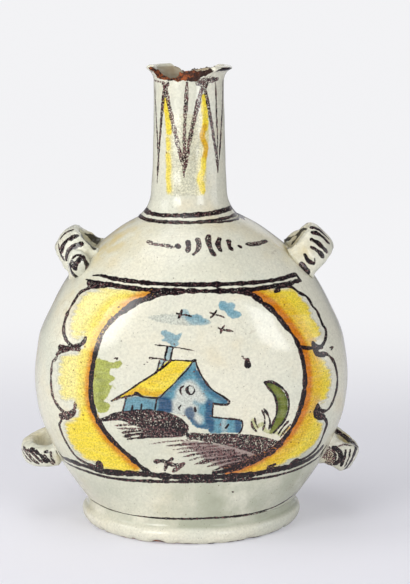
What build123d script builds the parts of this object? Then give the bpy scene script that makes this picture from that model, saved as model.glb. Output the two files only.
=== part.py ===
from build123d import *
import math
import os

# Pilgrim flask in tin-glazed earthenware, standing on its foot.
# Millimetres, +Z up, origin on the ground under the middle of the foot,
# the painted front face looks along -Y.

# Driving sizes of the whole flask
flask_height = 225.0
foot_height = 12.0
girth_height = 73.0
neck_seat_height = 151.5
wall = 5.0

# Foot ring: a straight collar under the body, then a rolled edge that meets the ground
foot_seat_radius = 52.0
foot_thickness = 9.0
foot_roll_overhang = 2.4
foot_roll_height = 8.4
foot_roll_middle = 5.0
foot_rest_inset = 0.4
foot_edge_rise = 0.9
foot_bore_flare = 1.6

# Body: a thrown ball patted flat at the front and the back
body_half_width = 76.9
body_half_depth = 55.0
body_floor = 6.0
section_points = 36

# The body's level sections, from the foot up to the girth: how high each lies, and how far it
# has grown from the foot's seat to the full half width and half depth
lower_height_shares = (0.0, 0.13, 0.33, 0.56, 0.79, 1.0)
lower_width_shares = (0.0, 0.225, 0.522, 0.78, 0.952, 1.0)
lower_depth_shares = (0.0, 0.27, 0.53, 0.80, 0.96, 1.0)
lower_squareness = (2.0, 2.15, 2.5, 2.8, 2.95, 3.0)

# The sections above the girth, up to the neck's seat, measured from the neck's seat outwards
upper_height_shares = (0.242, 0.446, 0.586, 0.688, 0.777, 0.866, 0.943, 1.0)
upper_width_shares = (0.960, 0.833, 0.720, 0.607, 0.483, 0.320, 0.159, 0.0)
upper_depth_shares = (0.987, 0.947, 0.888, 0.782, 0.647, 0.452, 0.224, 0.0)
upper_squareness = (3.0, 2.8, 2.5, 2.25, 2.1, 2.0, 2.0, 2.0)

# Neck: set on a little to the left of the body's middle, as it came off the wheel
neck_offset = 1.0
neck_top_radius = 16.9
neck_taper = 1.8
neck_root_spread = 6.0
neck_root_rise = 10.5
neck_wall = 3.9
throat_step = 2.0

# Lip: flared, and broken away at the front and left
lip_flare = 4.0
lip_mouth_flare = 3.4
lip_rise = 7.5
lip_edge = 1.6

# The break, as a ring of chips struck off the lip, side by side: the directions of their edges,
# seen from above and counted from the right, how far each chip drops at the middle of the wall,
# and how steeply it falls away outwards
front_chip_edges = (184.0, 200.0, 216.0, 232.0, 248.0, 262.0, 275.0, 287.0, 299.0, 311.0, 324.0)
front_chip_drop_shares = (0.04, 0.40, 0.70, 0.80, 0.84, 0.64, 0.60, 0.10, 0.02, 0.0)
front_chip_slopes = (45.0, 42.0, 30.0, 14.0, 12.0, 52.0, 54.0, 62.0, 50.0, 34.0)
back_chip_edges = (40.0, 60.0, 79.0, 93.0, 108.0)
back_chip_drop_shares = (0.24, 0.30, 0.46, 0.50)
back_chip_slopes = (12.0, 10.0, 6.0, 8.0)
chip_overlap_angle = 1.0
chip_block = 24.0

# Strap loops for the carrying cord: two on the shoulders, two low on the flanks. Each was bent
# and luted on by hand, so each has its own place and size. The height share says where its middle
# meets the body, tilt is how far it points up, turn is how far its back foot is swung upwards, and
# rise is how far the strap's middle stands off the body.
strap_thickness = 7.2
strap_edge_radius = 3.3
loop_radius = 12.4
loop_root = 9.0

upper_left_height_share = 0.8616
upper_left_tilt = 40.0
upper_left_turn = 3.0
upper_left_rise = 12.0
upper_left_width = 15.4

upper_right_height_share = 0.8545
upper_right_tilt = 42.0
upper_right_turn = 3.0
upper_right_rise = 14.4
upper_right_width = 16.0

lower_left_height_share = 0.1706
lower_left_tilt = -8.0
lower_left_turn = 9.0
lower_left_rise = 14.6
lower_left_width = 10.4

lower_right_height_share = 0.1814
lower_right_tilt = -31.0
lower_right_turn = 1.0
lower_right_rise = 13.0
lower_right_width = 13.8

# What follows from the driving sizes
body_height = neck_seat_height - foot_height
foot_bore_radius = foot_seat_radius - foot_thickness
foot_roll_radius = foot_seat_radius + foot_roll_overhang
foot_rest_radius = foot_seat_radius - foot_rest_inset
neck_bore_radius = neck_top_radius - neck_wall
neck_root_radius = neck_top_radius + neck_taper
neck_root_height = neck_seat_height + neck_root_rise
neck_seat_radius = neck_root_radius + neck_root_spread
neck_top_height = flask_height - lip_rise
throat_radius = neck_bore_radius + throat_step
lip_radius = neck_top_radius + lip_flare
lip_mouth_radius = neck_bore_radius + lip_mouth_flare


def station_table():
    """Level sections of the body's outside: height, half width, half depth, squareness."""
    rise_low = girth_height - foot_height
    rise_high = neck_seat_height - girth_height
    rows = []
    for h, w, d, n in zip(lower_height_shares, lower_width_shares, lower_depth_shares, lower_squareness):
        rows.append((
            foot_height + rise_low * h,
            foot_seat_radius + (body_half_width - foot_seat_radius) * w,
            foot_seat_radius + (body_half_depth - foot_seat_radius) * d,
            n,
        ))
    for h, w, d, n in zip(upper_height_shares, upper_width_shares, upper_depth_shares, upper_squareness):
        rows.append((
            girth_height + rise_high * h,
            neck_seat_radius + (body_half_width - neck_seat_radius) * w,
            neck_seat_radius + (body_half_depth - neck_seat_radius) * d,
            n,
        ))
    return rows


def inset_table(rows, inset):
    """The same sections moved inwards by the wall, square to the outline seen from two sides."""
    side = Spline(*[(row[1], row[0]) for row in rows])
    front = Spline(*[(row[2], row[0]) for row in rows])
    moved = []
    for height, half_width, half_depth, squareness in rows[1:-1]:
        out_side = inward_of(side, (half_width, height))
        out_front = inward_of(front, (half_depth, height))
        moved.append((
            height + inset * (out_side.Y + out_front.Y) / 2,
            half_width + inset * out_side.X,
            half_depth + inset * out_front.X,
            squareness,
        ))
    return moved


def inward_of(outline, place):
    """Unit direction that points into the body, square to the outline at a place on it."""
    along = outline.tangent_at(outline.param_at_point(place))
    return Vector(-along.Y, along.X, 0)


def level_section(height, half_width, half_depth, squareness):
    """A closed level outline, round at squareness 2 and flatter at the front and back above it."""
    points = []
    for step in range(section_points):
        angle = 2 * math.pi * step / section_points
        across = abs(math.cos(angle) / half_width) ** squareness
        deep = abs(math.sin(angle) / half_depth) ** squareness
        reach = (across + deep) ** (-1 / squareness)
        points.append((reach * math.cos(angle), reach * math.sin(angle), height))
    return Face(Wire(Edge.make_spline([Vector(*p) for p in points], periodic=True)))


def body_outside():
    """The whole outside of the body as one closed solid."""
    return loft([level_section(*row) for row in station_table()])


def body_inside():
    """The hollow of the body, open at the throat."""
    rows = station_table()
    floor = (foot_height + body_floor, foot_seat_radius - wall, foot_seat_radius - wall, 2.0)
    throat = (neck_seat_height, throat_radius, throat_radius, 2.0)
    inner = [row for row in inset_table(rows, wall) if row[0] > floor[0] + wall]
    return loft([level_section(*row) for row in [floor] + inner + [throat]])


def foot_ring():
    """Ring luted under the body, turned with a collar and a rolled edge."""
    with BuildSketch(Plane.XZ) as profile:
        with BuildLine():
            Polyline(
                (foot_rest_radius, 0),
                (foot_bore_radius + foot_bore_flare, 0),
                (foot_bore_radius, foot_height),
                (foot_seat_radius, foot_height),
                (foot_seat_radius, foot_roll_height),
            )
            ThreePointArc(
                (foot_seat_radius, foot_roll_height),
                (foot_roll_radius, foot_roll_middle),
                (foot_rest_radius + foot_edge_rise, foot_edge_rise),
            )
            Line((foot_rest_radius + foot_edge_rise, foot_edge_rise), (foot_rest_radius, 0))
        make_face()
    return revolve(profile.sketch, Axis.Z)


def neck_turned():
    """The neck as it was thrown: cavetto foot, slightly tapered tube, flared lip."""
    root = (neck_root_radius, neck_root_height)
    top = (neck_top_radius, neck_top_height)
    taper = Vector(root[0] - top[0], root[1] - top[1], 0).normalized()
    rim_outer = (lip_radius, flask_height - lip_edge)
    rim_top = ((lip_radius + lip_mouth_radius) / 2, flask_height)
    rim_inner = (lip_mouth_radius, flask_height - lip_edge)
    flare_start = (neck_bore_radius, neck_top_height)
    with BuildSketch(Plane.XZ) as profile:
        with BuildLine():
            TangentArc(root, (neck_seat_radius, neck_seat_height), tangent=taper)
            Line(root, top)
            TangentArc(top, rim_outer, tangent=-taper)
            ThreePointArc(rim_outer, rim_top, rim_inner)
            TangentArc(flare_start, rim_inner, tangent=(0, 1))
            Polyline(flare_start, (neck_bore_radius, neck_seat_height), (neck_seat_radius, neck_seat_height))
        make_face()
    return revolve(profile.sketch, Axis.Z)


def chip(start, end, drop_share, slope):
    """A wedge, pointed at the neck's middle, that takes one chip off the lip."""
    middle_of_wall = (neck_bore_radius + neck_top_radius) / 2
    drop = drop_share * lip_rise
    to_middle = middle_of_wall / math.cos(math.radians(slope))
    spread = math.tan(math.radians((end - start) / 2 + chip_overlap_angle))
    half_width = (to_middle + chip_block) * spread
    wedge = Polygon(
        (-to_middle, 0), (chip_block, -half_width), (chip_block, half_width), align=None
    )
    block = extrude(wedge, amount=chip_block)
    seat = Pos(middle_of_wall, 0, flask_height - drop) * Rot(0, slope, 0)
    return Rot(0, 0, (start + end) / 2) * seat * block


def chips(edges, drop_shares, slopes):
    """Every chip of one run of the break."""
    return [chip(*row) for row in zip(edges, edges[1:], drop_shares, slopes)]


def neck():
    """The neck with its broken lip, in place on the body."""
    worn = neck_turned()
    struck = chips(front_chip_edges, front_chip_drop_shares, front_chip_slopes)
    struck += chips(back_chip_edges, back_chip_drop_shares, back_chip_slopes)
    for piece in struck:
        worn -= piece
    return Pos(-neck_offset, 0, 0) * worn


def strap_arch(width):
    """A strap bent over a half turn on two straight feet, rising along +X, its width along Z."""
    section = RectangleRounded(strap_thickness, width, strap_edge_radius)
    right_end = Plane.XZ * Pos(loop_radius, 0) * section
    left_end = Plane.XZ * Pos(-loop_radius, 0) * section
    half_turn = revolve(right_end, Axis.Z, revolution_arc=180)
    feet = extrude(right_end, amount=loop_root) + extrude(left_end, amount=loop_root)
    return Rot(0, 0, -90) * (half_turn + feet)


def flank_place(height):
    """Half width of the body at a height, read between its sections."""
    rows = station_table()
    for low, high in zip(rows, rows[1:]):
        if low[0] <= height <= high[0]:
            share = (height - low[0]) / (high[0] - low[0])
            return low[1] + (high[1] - low[1]) * share
    return body_half_width


def loop(side, height_share, tilt, turn, rise, width, body):
    """One strap loop on a flank, its feet cut to the body's own surface."""
    height = foot_height + height_share * body_height
    standing = Pos(rise - loop_radius, 0, 0) * strap_arch(width)
    placed = Pos(flank_place(height), 0, height) * Rot(0, -tilt, 0) * Rot(turn, 0, 0) * standing
    if side < 0:
        placed = mirror(placed, Plane.YZ)
    seated = placed - body
    return max(seated.solids(), key=lambda solid: solid.volume)


def loops(body):
    """The four strap loops, each under its own name."""
    return {
        "upper_left_loop": loop(
            -1, upper_left_height_share, upper_left_tilt, upper_left_turn, upper_left_rise, upper_left_width, body
        ),
        "upper_right_loop": loop(
            1, upper_right_height_share, upper_right_tilt, upper_right_turn, upper_right_rise, upper_right_width, body
        ),
        "lower_left_loop": loop(
            -1, lower_left_height_share, lower_left_tilt, lower_left_turn, lower_left_rise, lower_left_width, body
        ),
        "lower_right_loop": loop(
            1, lower_right_height_share, lower_right_tilt, lower_right_turn, lower_right_rise, lower_right_width, body
        ),
    }


def main():
    """Builds every piece and writes one file for each."""
    os.makedirs("parts", exist_ok=True)
    outside = body_outside()
    pieces = {"body": outside - body_inside(), "neck": neck(), "foot_ring": foot_ring()}
    pieces.update(loops(outside))
    for name, shape in pieces.items():
        shape.label = name
        export_step(shape, f"parts/{name}.step")


main()
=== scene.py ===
"""Visual model of a tin-glazed pilgrim flask: thrown body, foot ring, broken neck, strap loops."""
import logging
import math
from dataclasses import dataclass, field
from enum import Enum

import bpy
import numpy as np
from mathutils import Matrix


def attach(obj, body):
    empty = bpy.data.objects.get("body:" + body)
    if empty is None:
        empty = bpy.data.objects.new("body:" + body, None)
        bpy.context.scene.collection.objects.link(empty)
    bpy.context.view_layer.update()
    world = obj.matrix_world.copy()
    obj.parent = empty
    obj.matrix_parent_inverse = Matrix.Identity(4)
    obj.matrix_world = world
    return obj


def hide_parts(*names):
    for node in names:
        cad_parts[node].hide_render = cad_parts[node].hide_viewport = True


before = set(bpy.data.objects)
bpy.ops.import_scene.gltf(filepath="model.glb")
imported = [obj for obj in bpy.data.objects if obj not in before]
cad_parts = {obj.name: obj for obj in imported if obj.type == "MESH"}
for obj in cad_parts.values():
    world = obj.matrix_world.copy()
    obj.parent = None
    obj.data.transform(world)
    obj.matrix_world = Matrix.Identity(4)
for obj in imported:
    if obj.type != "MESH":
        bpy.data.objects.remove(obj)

MM = 0.001
TINY = 1e-12
LOG = logging.getLogger("flask")


# Shapes worked out in millimetres


def smooth_through(keys: np.ndarray, values: np.ndarray, at: np.ndarray) -> np.ndarray:
    """Reads a curve through given places, without overshoot.

    Each span is a cubic whose end slopes are the harmonic mean of the slopes of the spans beside it.

    Args:
        keys: Rising places of the given values.
        values: The values at those places.
        at: Where to read.

    Returns:
        The curve's values at the places asked for.
    """
    keys, values = np.asarray(keys, float), np.asarray(values, float)
    span = np.diff(keys)
    slope = np.diff(values) / span
    product, total = slope[1:] * slope[:-1], slope[1:] + slope[:-1] + TINY
    inner = np.where(product > 0, 2 * product / total, 0.0)
    ends = np.concatenate(([slope[0]], inner, [slope[-1]]))
    at = np.clip(at, keys[0], keys[-1])
    k = np.clip(np.searchsorted(keys, at) - 1, 0, len(span) - 1)
    t = (at - keys[k]) / span[k]
    rise, fall = t * t * (3 - 2 * t), t * (1 - t)
    return values[k] * (1 - rise) + values[k + 1] * rise + span[k] * fall * (
        ends[k] * (1 - t) - ends[k + 1] * t)


def bend_through(points: np.ndarray, step: float, closed: bool = False) -> np.ndarray:
    """Draws an even curve through given points.

    Each span is a Catmull-Rom cubic, which passes its ends along the line between their neighbours.

    Args:
        points: Two or more points, one a row.
        step: Distance between the points wanted.
        closed: Whether the curve returns to its first point.

    Returns:
        Points along the curve.
    """
    points = np.asarray(points, float)
    if closed:
        framed = np.vstack((points[-1:], points, points[:2]))
    else:
        framed = np.vstack((2 * points[:1] - points[1:2], points, 2 * points[-1:] - points[-2:-1]))
    drawn = []
    for before, start, end, after in zip(framed, framed[1:], framed[2:], framed[3:]):
        count = max(1, int(math.ceil(np.linalg.norm(end - start) / step)))
        t = (np.arange(count) / count)[:, None]
        drawn.append(start + t * (end - before) / 2 + t ** 2 * (before - 2.5 * start + 2 * end - after / 2)
                     + t ** 3 * (1.5 * (start - end) + (after - before) / 2))
    if not closed:
        drawn.append(points[-1:])
    return np.vstack(drawn)


def ripple(points: np.ndarray, length: float, seed: int, waves: int = 14,
           stray: tuple[float, float] = (0.6, 1.5)) -> np.ndarray:
    """Gives a soft uneven field, the same on every run.

    It adds up plane waves of about one length, each in its own direction and with its own start.

    Args:
        points: Places to read, one a row.
        length: Usual distance between two humps.
        seed: Number that picks the waves.
        waves: How many waves are added.
        stray: Least and greatest number of humps of a wave in one length.

    Returns:
        One value for each place, mostly between -1 and 1.
    """
    rng = np.random.RandomState(seed)
    way = rng.normal(size=(waves, 3))
    way *= (2 * math.pi / length * rng.uniform(*stray, waves) / np.linalg.norm(way, axis=1))[:, None]
    shift = rng.uniform(0, 2 * math.pi, waves)
    total = np.zeros(points.shape[:-1])
    for row, start in zip(way, shift):
        total += np.sin(points @ row + start)
    return total / math.sqrt(waves / 2)


@dataclass(frozen=True)
class Wave:
    """One soft unevenness: its height, its length in millimetres and the number that picks it."""

    height: float
    length: float
    seed: int


def uneven(points: np.ndarray, waves: tuple[Wave, ...]) -> np.ndarray:
    """Adds up several soft unevennesses at given places."""
    return sum(wave.height * ripple(points, wave.length, wave.seed) for wave in waves)


def soft_step(low: float, high: float, value: np.ndarray) -> np.ndarray:
    """Rises smoothly from 0 at the low value to 1 at the high one."""
    t = np.clip((value - low) / (high - low), 0.0, 1.0)
    return t * t * (3 - 2 * t)


def four_sided(index: np.ndarray) -> np.ndarray:
    """Joins a grid of point numbers into four-sided faces, one a row."""
    corners = (index[:-1, :-1], index[:-1, 1:], index[1:, 1:], index[1:, :-1])
    return np.stack(corners, axis=-1).reshape(-1, 4)


def grid_piece(name: str, points: np.ndarray, node: str, start_pole: bool = False,
               end_pole: bool = False, wrap_columns: bool = True, wrap_rows: bool = False,
               outward: bool = True, facts: dict[str, np.ndarray] | None = None) -> bpy.types.Object:
    """Makes a piece of a grid of points.

    Neighbouring points make four-sided faces, and a closed pole is a fan of three-sided faces to the
    middle of the end row. The sum of each face's place times its area vector is positive
    where faces look outwards, and all faces are turned round where its sign is the wrong one.

    Args:
        name: Name of the piece.
        points: Rows by columns by 3, in millimetres.
        node: CAD node that the piece stands for.
        start_pole: Whether the first row is closed.
        end_pole: Whether the last row is closed.
        wrap_columns: Whether the last column joins the first.
        wrap_rows: Whether the last row joins the first.
        outward: Whether the faces look away from the middle.
        facts: Values for every point, by name: one number each, or four for a colour.

    Returns:
        The piece, riding on the root body.
    """
    rows, columns = points.shape[:2]
    flat = points.reshape(-1, 3)
    index = np.arange(rows * columns).reshape(rows, columns)
    nxt = np.roll(index, -1, axis=1)
    lines = np.vstack((index, index[:1])) if wrap_rows else index
    lines = np.hstack((lines, lines[:, :1])) if wrap_columns else lines
    quads = four_sided(lines)
    fans = []
    poles = []
    if start_pole:
        poles.append(points[0].mean(axis=0))
        middle = np.full(columns, len(flat))
        fans.append(np.stack((middle, nxt[0], index[0]), axis=-1))
    if end_pole:
        middle = np.full(columns, len(flat) + len(poles))
        poles.append(points[-1].mean(axis=0))
        fans.append(np.stack((middle, index[-1], nxt[-1]), axis=-1))
    if poles:
        flat = np.vstack((flat, poles))
    threes = np.vstack(fans) if fans else np.zeros((0, 3), int)
    middle_place = flat.mean(axis=0) if wrap_columns else np.array([0.0, 0.0, flat[:, 2].mean()])
    a, b, c, d = (flat[quads[:, k]] - middle_place for k in range(4))
    if ((a * np.cross(c - a, d - b)).sum() > 0) != outward:
        quads, threes = quads[:, ::-1], threes[:, ::-1]
    corners = np.concatenate((quads.ravel(), threes.ravel())).astype(np.int32)
    starts = np.concatenate((np.arange(len(quads)) * 4, len(quads) * 4 + np.arange(len(threes)) * 3))
    mesh = bpy.data.meshes.new(name)
    mesh.vertices.add(len(flat))
    mesh.vertices.foreach_set("co", (flat * MM).astype(np.float32).ravel())
    mesh.loops.add(len(corners))
    mesh.loops.foreach_set("vertex_index", corners)
    mesh.polygons.add(len(starts))
    mesh.polygons.foreach_set("loop_start", starts.astype(np.int32))
    mesh.polygons.foreach_set("use_smooth", np.ones(len(starts), bool))
    mesh.update(calc_edges=True)
    mesh.validate()
    for label, values in (facts or {}).items():
        store_fact(mesh, label, values, len(flat))
    piece = bpy.data.objects.new(name, mesh)
    bpy.context.scene.collection.objects.link(piece)
    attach(piece, "root")
    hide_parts(node)
    return piece


def ring_piece(name: str, grid: "PaintedGrid", node: str, before: np.ndarray | None = None,
               after: np.ndarray | None = None, start_pole: bool = False, end_pole: bool = False,
               wrap_rows: bool = False, extra: dict[str, np.ndarray] | None = None) -> bpy.types.Object:
    """Makes a piece of a painted grid that runs once round, with plain rows added to its ends.

    Args:
        name: Name of the piece.
        grid: The painted grid.
        node: CAD node that it stands for.
        before: Unpainted rows ahead of the first, or None.
        after: Unpainted rows behind the last, or None.
        start_pole: Whether the first row is closed.
        end_pole: Whether the last row is closed.
        wrap_rows: Whether the last row joins the first.
        extra: More values for the grid's points.

    Returns:
        The piece.
    """
    points, facts = grid.spots, {**grid.facts(), **(extra or {})}
    for rows, first in ((before, True), (after, False)):
        if rows is None:
            continue
        points = np.concatenate((rows, points) if first else (points, rows))
        for label, values in facts.items():
            edge = np.repeat(values[:1] if first else values[-1:], len(rows), axis=0)
            facts[label] = np.concatenate((edge, values) if first else (values, edge))
    return grid_piece(name, points, node, start_pole, end_pole, True, wrap_rows, True, facts)


def sheet_piece(name: str, grid: "PaintedGrid", node: str) -> bpy.types.Object:
    """Makes a piece of a painted grid whose columns don't close on themselves."""
    return grid_piece(name, grid.spots, node, wrap_columns=False, facts=grid.facts())


def store_fact(mesh: bpy.types.Mesh, label: str, values: np.ndarray, count: int) -> None:
    """Keeps one value, or one colour, for every point of a mesh.

    Args:
        mesh: The mesh.
        label: Name that the materials read.
        values: Rows by columns of numbers, or of four numbers each.
        count: Points in the mesh; a pole takes the mean of all values.
    """
    colour = values.ndim == 3
    flat = values.reshape(-1, 4) if colour else values.reshape(-1)
    spare = count - len(flat)
    if spare:
        flat = np.concatenate((flat, np.repeat(flat.mean(axis=0, keepdims=True), spare, axis=0)))
    made = mesh.attributes.new(label, "FLOAT_COLOR" if colour else "FLOAT", "POINT")
    made.data.foreach_set("color" if colour else "value", flat.astype(np.float32).ravel())


# The photograph's view


@dataclass(frozen=True)
class StudioCamera:
    """The camera that the photograph was taken with. It looks along +Y and a little down."""

    place: tuple[float, float, float] = (6.8, -1000.0, 287.2)
    pitch: float = 0.172
    focal_pixels: float = 2057.6
    picture: tuple[int, int] = (410, 584)
    sensor: float = 36.0
    clip: tuple[float, float] = (0.05, 20.0)

    def project(self, points: np.ndarray) -> tuple[np.ndarray, np.ndarray]:
        """Finds where places show in the picture.

        The depth is the distance along the view, and a place shows at its sideways and upward
        distances from the view's middle line, over the depth.

        Args:
            points: Places in millimetres, one a row.

        Returns:
            Picture points across and down, and the depths.
        """
        away = points - np.array(self.place)
        depth = away[..., 1] * math.cos(self.pitch) - away[..., 2] * math.sin(self.pitch)
        up = away[..., 1] * math.sin(self.pitch) + away[..., 2] * math.cos(self.pitch)
        across = self.picture[0] / 2 + self.focal_pixels * away[..., 0] / depth
        down = self.picture[1] / 2 - self.focal_pixels * up / depth
        return np.stack((across, down), axis=-1), depth

    def build(self) -> bpy.types.Object:
        """Makes Blender's camera of the same view.

        Returns:
            The camera, set as the scene's own.
        """
        data = bpy.data.cameras.new("studio_camera")
        data.sensor_width = self.sensor
        data.sensor_fit = "AUTO"
        data.lens = self.focal_pixels / max(self.picture) * self.sensor
        data.clip_start, data.clip_end = self.clip
        camera = bpy.data.objects.new("studio_camera", data)
        camera.location = [value * MM for value in self.place]
        camera.rotation_euler = (math.pi / 2 - self.pitch, 0.0, 0.0)
        bpy.context.scene.collection.objects.link(camera)
        bpy.context.scene.camera = camera
        return camera


# Surfaces that can be built and painted


class Surface:
    """A shape worked out from two numbers: how far round, and how far along."""

    round_range: tuple[float, float] = (0.0, 2 * math.pi)
    along_range: tuple[float, float] = (0.0, 1.0)
    handed: int = 1
    search_grid: tuple[int, int] = (361, 161)
    search_rounds: int = 8
    search_batch: int = 40
    near_enough: float = 1.5

    def place(self, around: np.ndarray, along: np.ndarray) -> np.ndarray:
        """Works out places on the surface; each shape has its own formula."""
        raise NotImplementedError

    def grid(self, columns: int, rows: int, around: tuple[float, float] | None = None,
             along: tuple[float, float] | None = None, wrap: bool = True) -> "PaintedGrid":
        """Lays an even grid on the surface.

        Args:
            columns: Points round.
            rows: Points along.
            around: First and last angle, or None for a full turn.
            along: First and last place along, or None for all of it.
            wrap: Whether the columns close on themselves.

        Returns:
            The grid, with nothing painted yet.
        """
        low, high = around or self.round_range
        turn = np.linspace(low, high, columns, endpoint=not wrap)
        way = np.linspace(*(along or self.along_range), rows)
        turns, ways = np.meshgrid(turn, way)
        return PaintedGrid(self, turns, ways, self.place(turns, ways))

    def cast(self, pixels: np.ndarray, camera: StudioCamera, turned: bool = False,
             near_side: tuple[float, float] | None = None) -> np.ndarray:
        """Finds the places on the surface that show at given picture points.

        Of an even grid of places that face the camera, it takes the foremost that shows near enough, or
        else the one that shows nearest. Then it looks several times at the eight neighbours around it,
        each time half as far off, and keeps the nearest.

        Args:
            pixels: Picture points, one a row.
            camera: The view.
            turned: Whether the flask is looked at from the back.
            near_side: Angles to keep to, whichever way they face, or None.

        Returns:
            How far round and how far along, one a row.
        """
        flip = np.array([-1.0, -1.0, 1.0]) if turned else np.ones(3)
        low, high = near_side or self.round_range
        columns, rows = self.search_grid
        turn, way = np.meshgrid(np.linspace(low, high, columns), np.linspace(*self.along_range, rows))
        spots = self.place(turn, way) * flip
        if near_side is None:
            facing = self.handed * np.cross(np.gradient(spots, axis=1), np.gradient(spots, axis=0))
            keep = (facing * (np.array(camera.place) - spots)).sum(axis=-1) > 0
        else:
            keep = np.ones(turn.shape, bool)
        shown, depth = camera.project(spots[keep])
        turn, way = turn[keep], way[keep]
        pick = []
        for part in np.array_split(pixels, max(1, len(pixels) // self.search_batch)):
            off = ((part[:, None, :] - shown[None]) ** 2).sum(axis=-1)
            close = np.where(off < self.near_enough ** 2, depth[None], np.inf)
            pick.append(np.where(np.isfinite(close.min(axis=1)), close.argmin(axis=1), off.argmin(axis=1)))
        pick = np.concatenate(pick)
        best = np.stack((turn[pick], way[pick]), axis=-1)
        step = np.array([(high - low) / (columns - 1), np.ptp(self.along_range) / (rows - 1)])
        around = np.stack(np.meshgrid((-1, 0, 1), (-1, 0, 1)), axis=-1).reshape(-1, 2)
        for _ in range(self.search_rounds):
            tries = best[:, None, :] + around[None] * step
            tries[..., 1] = np.clip(tries[..., 1], *self.along_range)
            seen = camera.project(self.place(tries[..., 0], tries[..., 1]) * flip)[0]
            off = ((seen - pixels[:, None, :]) ** 2).sum(axis=-1)
            best = tries[np.arange(len(best)), off.argmin(axis=1)]
            step = step / 2
        return best


# Paint


class Pigment(Enum):
    """The painter's colours after firing, as linear red, green and blue."""

    LEMON = (0.80, 0.62, 0.045)
    PALE_LEMON = (0.80, 0.70, 0.24)
    GOLD = (0.66, 0.37, 0.008)
    ORANGE = (0.56, 0.165, 0.004)
    BLUE = (0.006, 0.056, 0.140)
    PALE_BLUE = (0.10, 0.27, 0.345)
    SMOKE_BLUE = (0.20, 0.36, 0.42)
    GREEN = (0.070, 0.097, 0.006)
    PALE_GREEN = (0.36, 0.39, 0.065)
    WHITE = (0.66, 0.65, 0.56)
    PLUM = (0.22, 0.125, 0.130)
    # Near-black for dirt with painted shade in the hollows under the upper straps.
    GRIME = (0.028, 0.024, 0.016)


@dataclass(frozen=True)
class Stroke:
    """A line drawn with the manganese brush, through picture points.

    The width is in millimetres, the tone runs from thin 0 to full 1, the ends are the shares of the
    width at the start and the end, and an area is filled in.
    """

    points: tuple[tuple[float, float], ...]
    width: float
    tone: float = 1.0
    ends: tuple[float, float] = (0.75, 0.75)
    area: bool = False


@dataclass(frozen=True)
class Wash:
    """A patch or band of thin colour, round or through picture points.

    The strength is a share, and the soft edge and the width are in millimetres; a patch has no width.
    The hatch gives the distance between the brush's bands and how far they draw back from the edge.
    """

    points: tuple[tuple[float, float], ...]
    pigment: Pigment
    strength: float = 0.9
    soft: float = 0.9
    width: float = 0.0
    hatch: tuple[float, float] = (1.0, 0.0)


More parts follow.
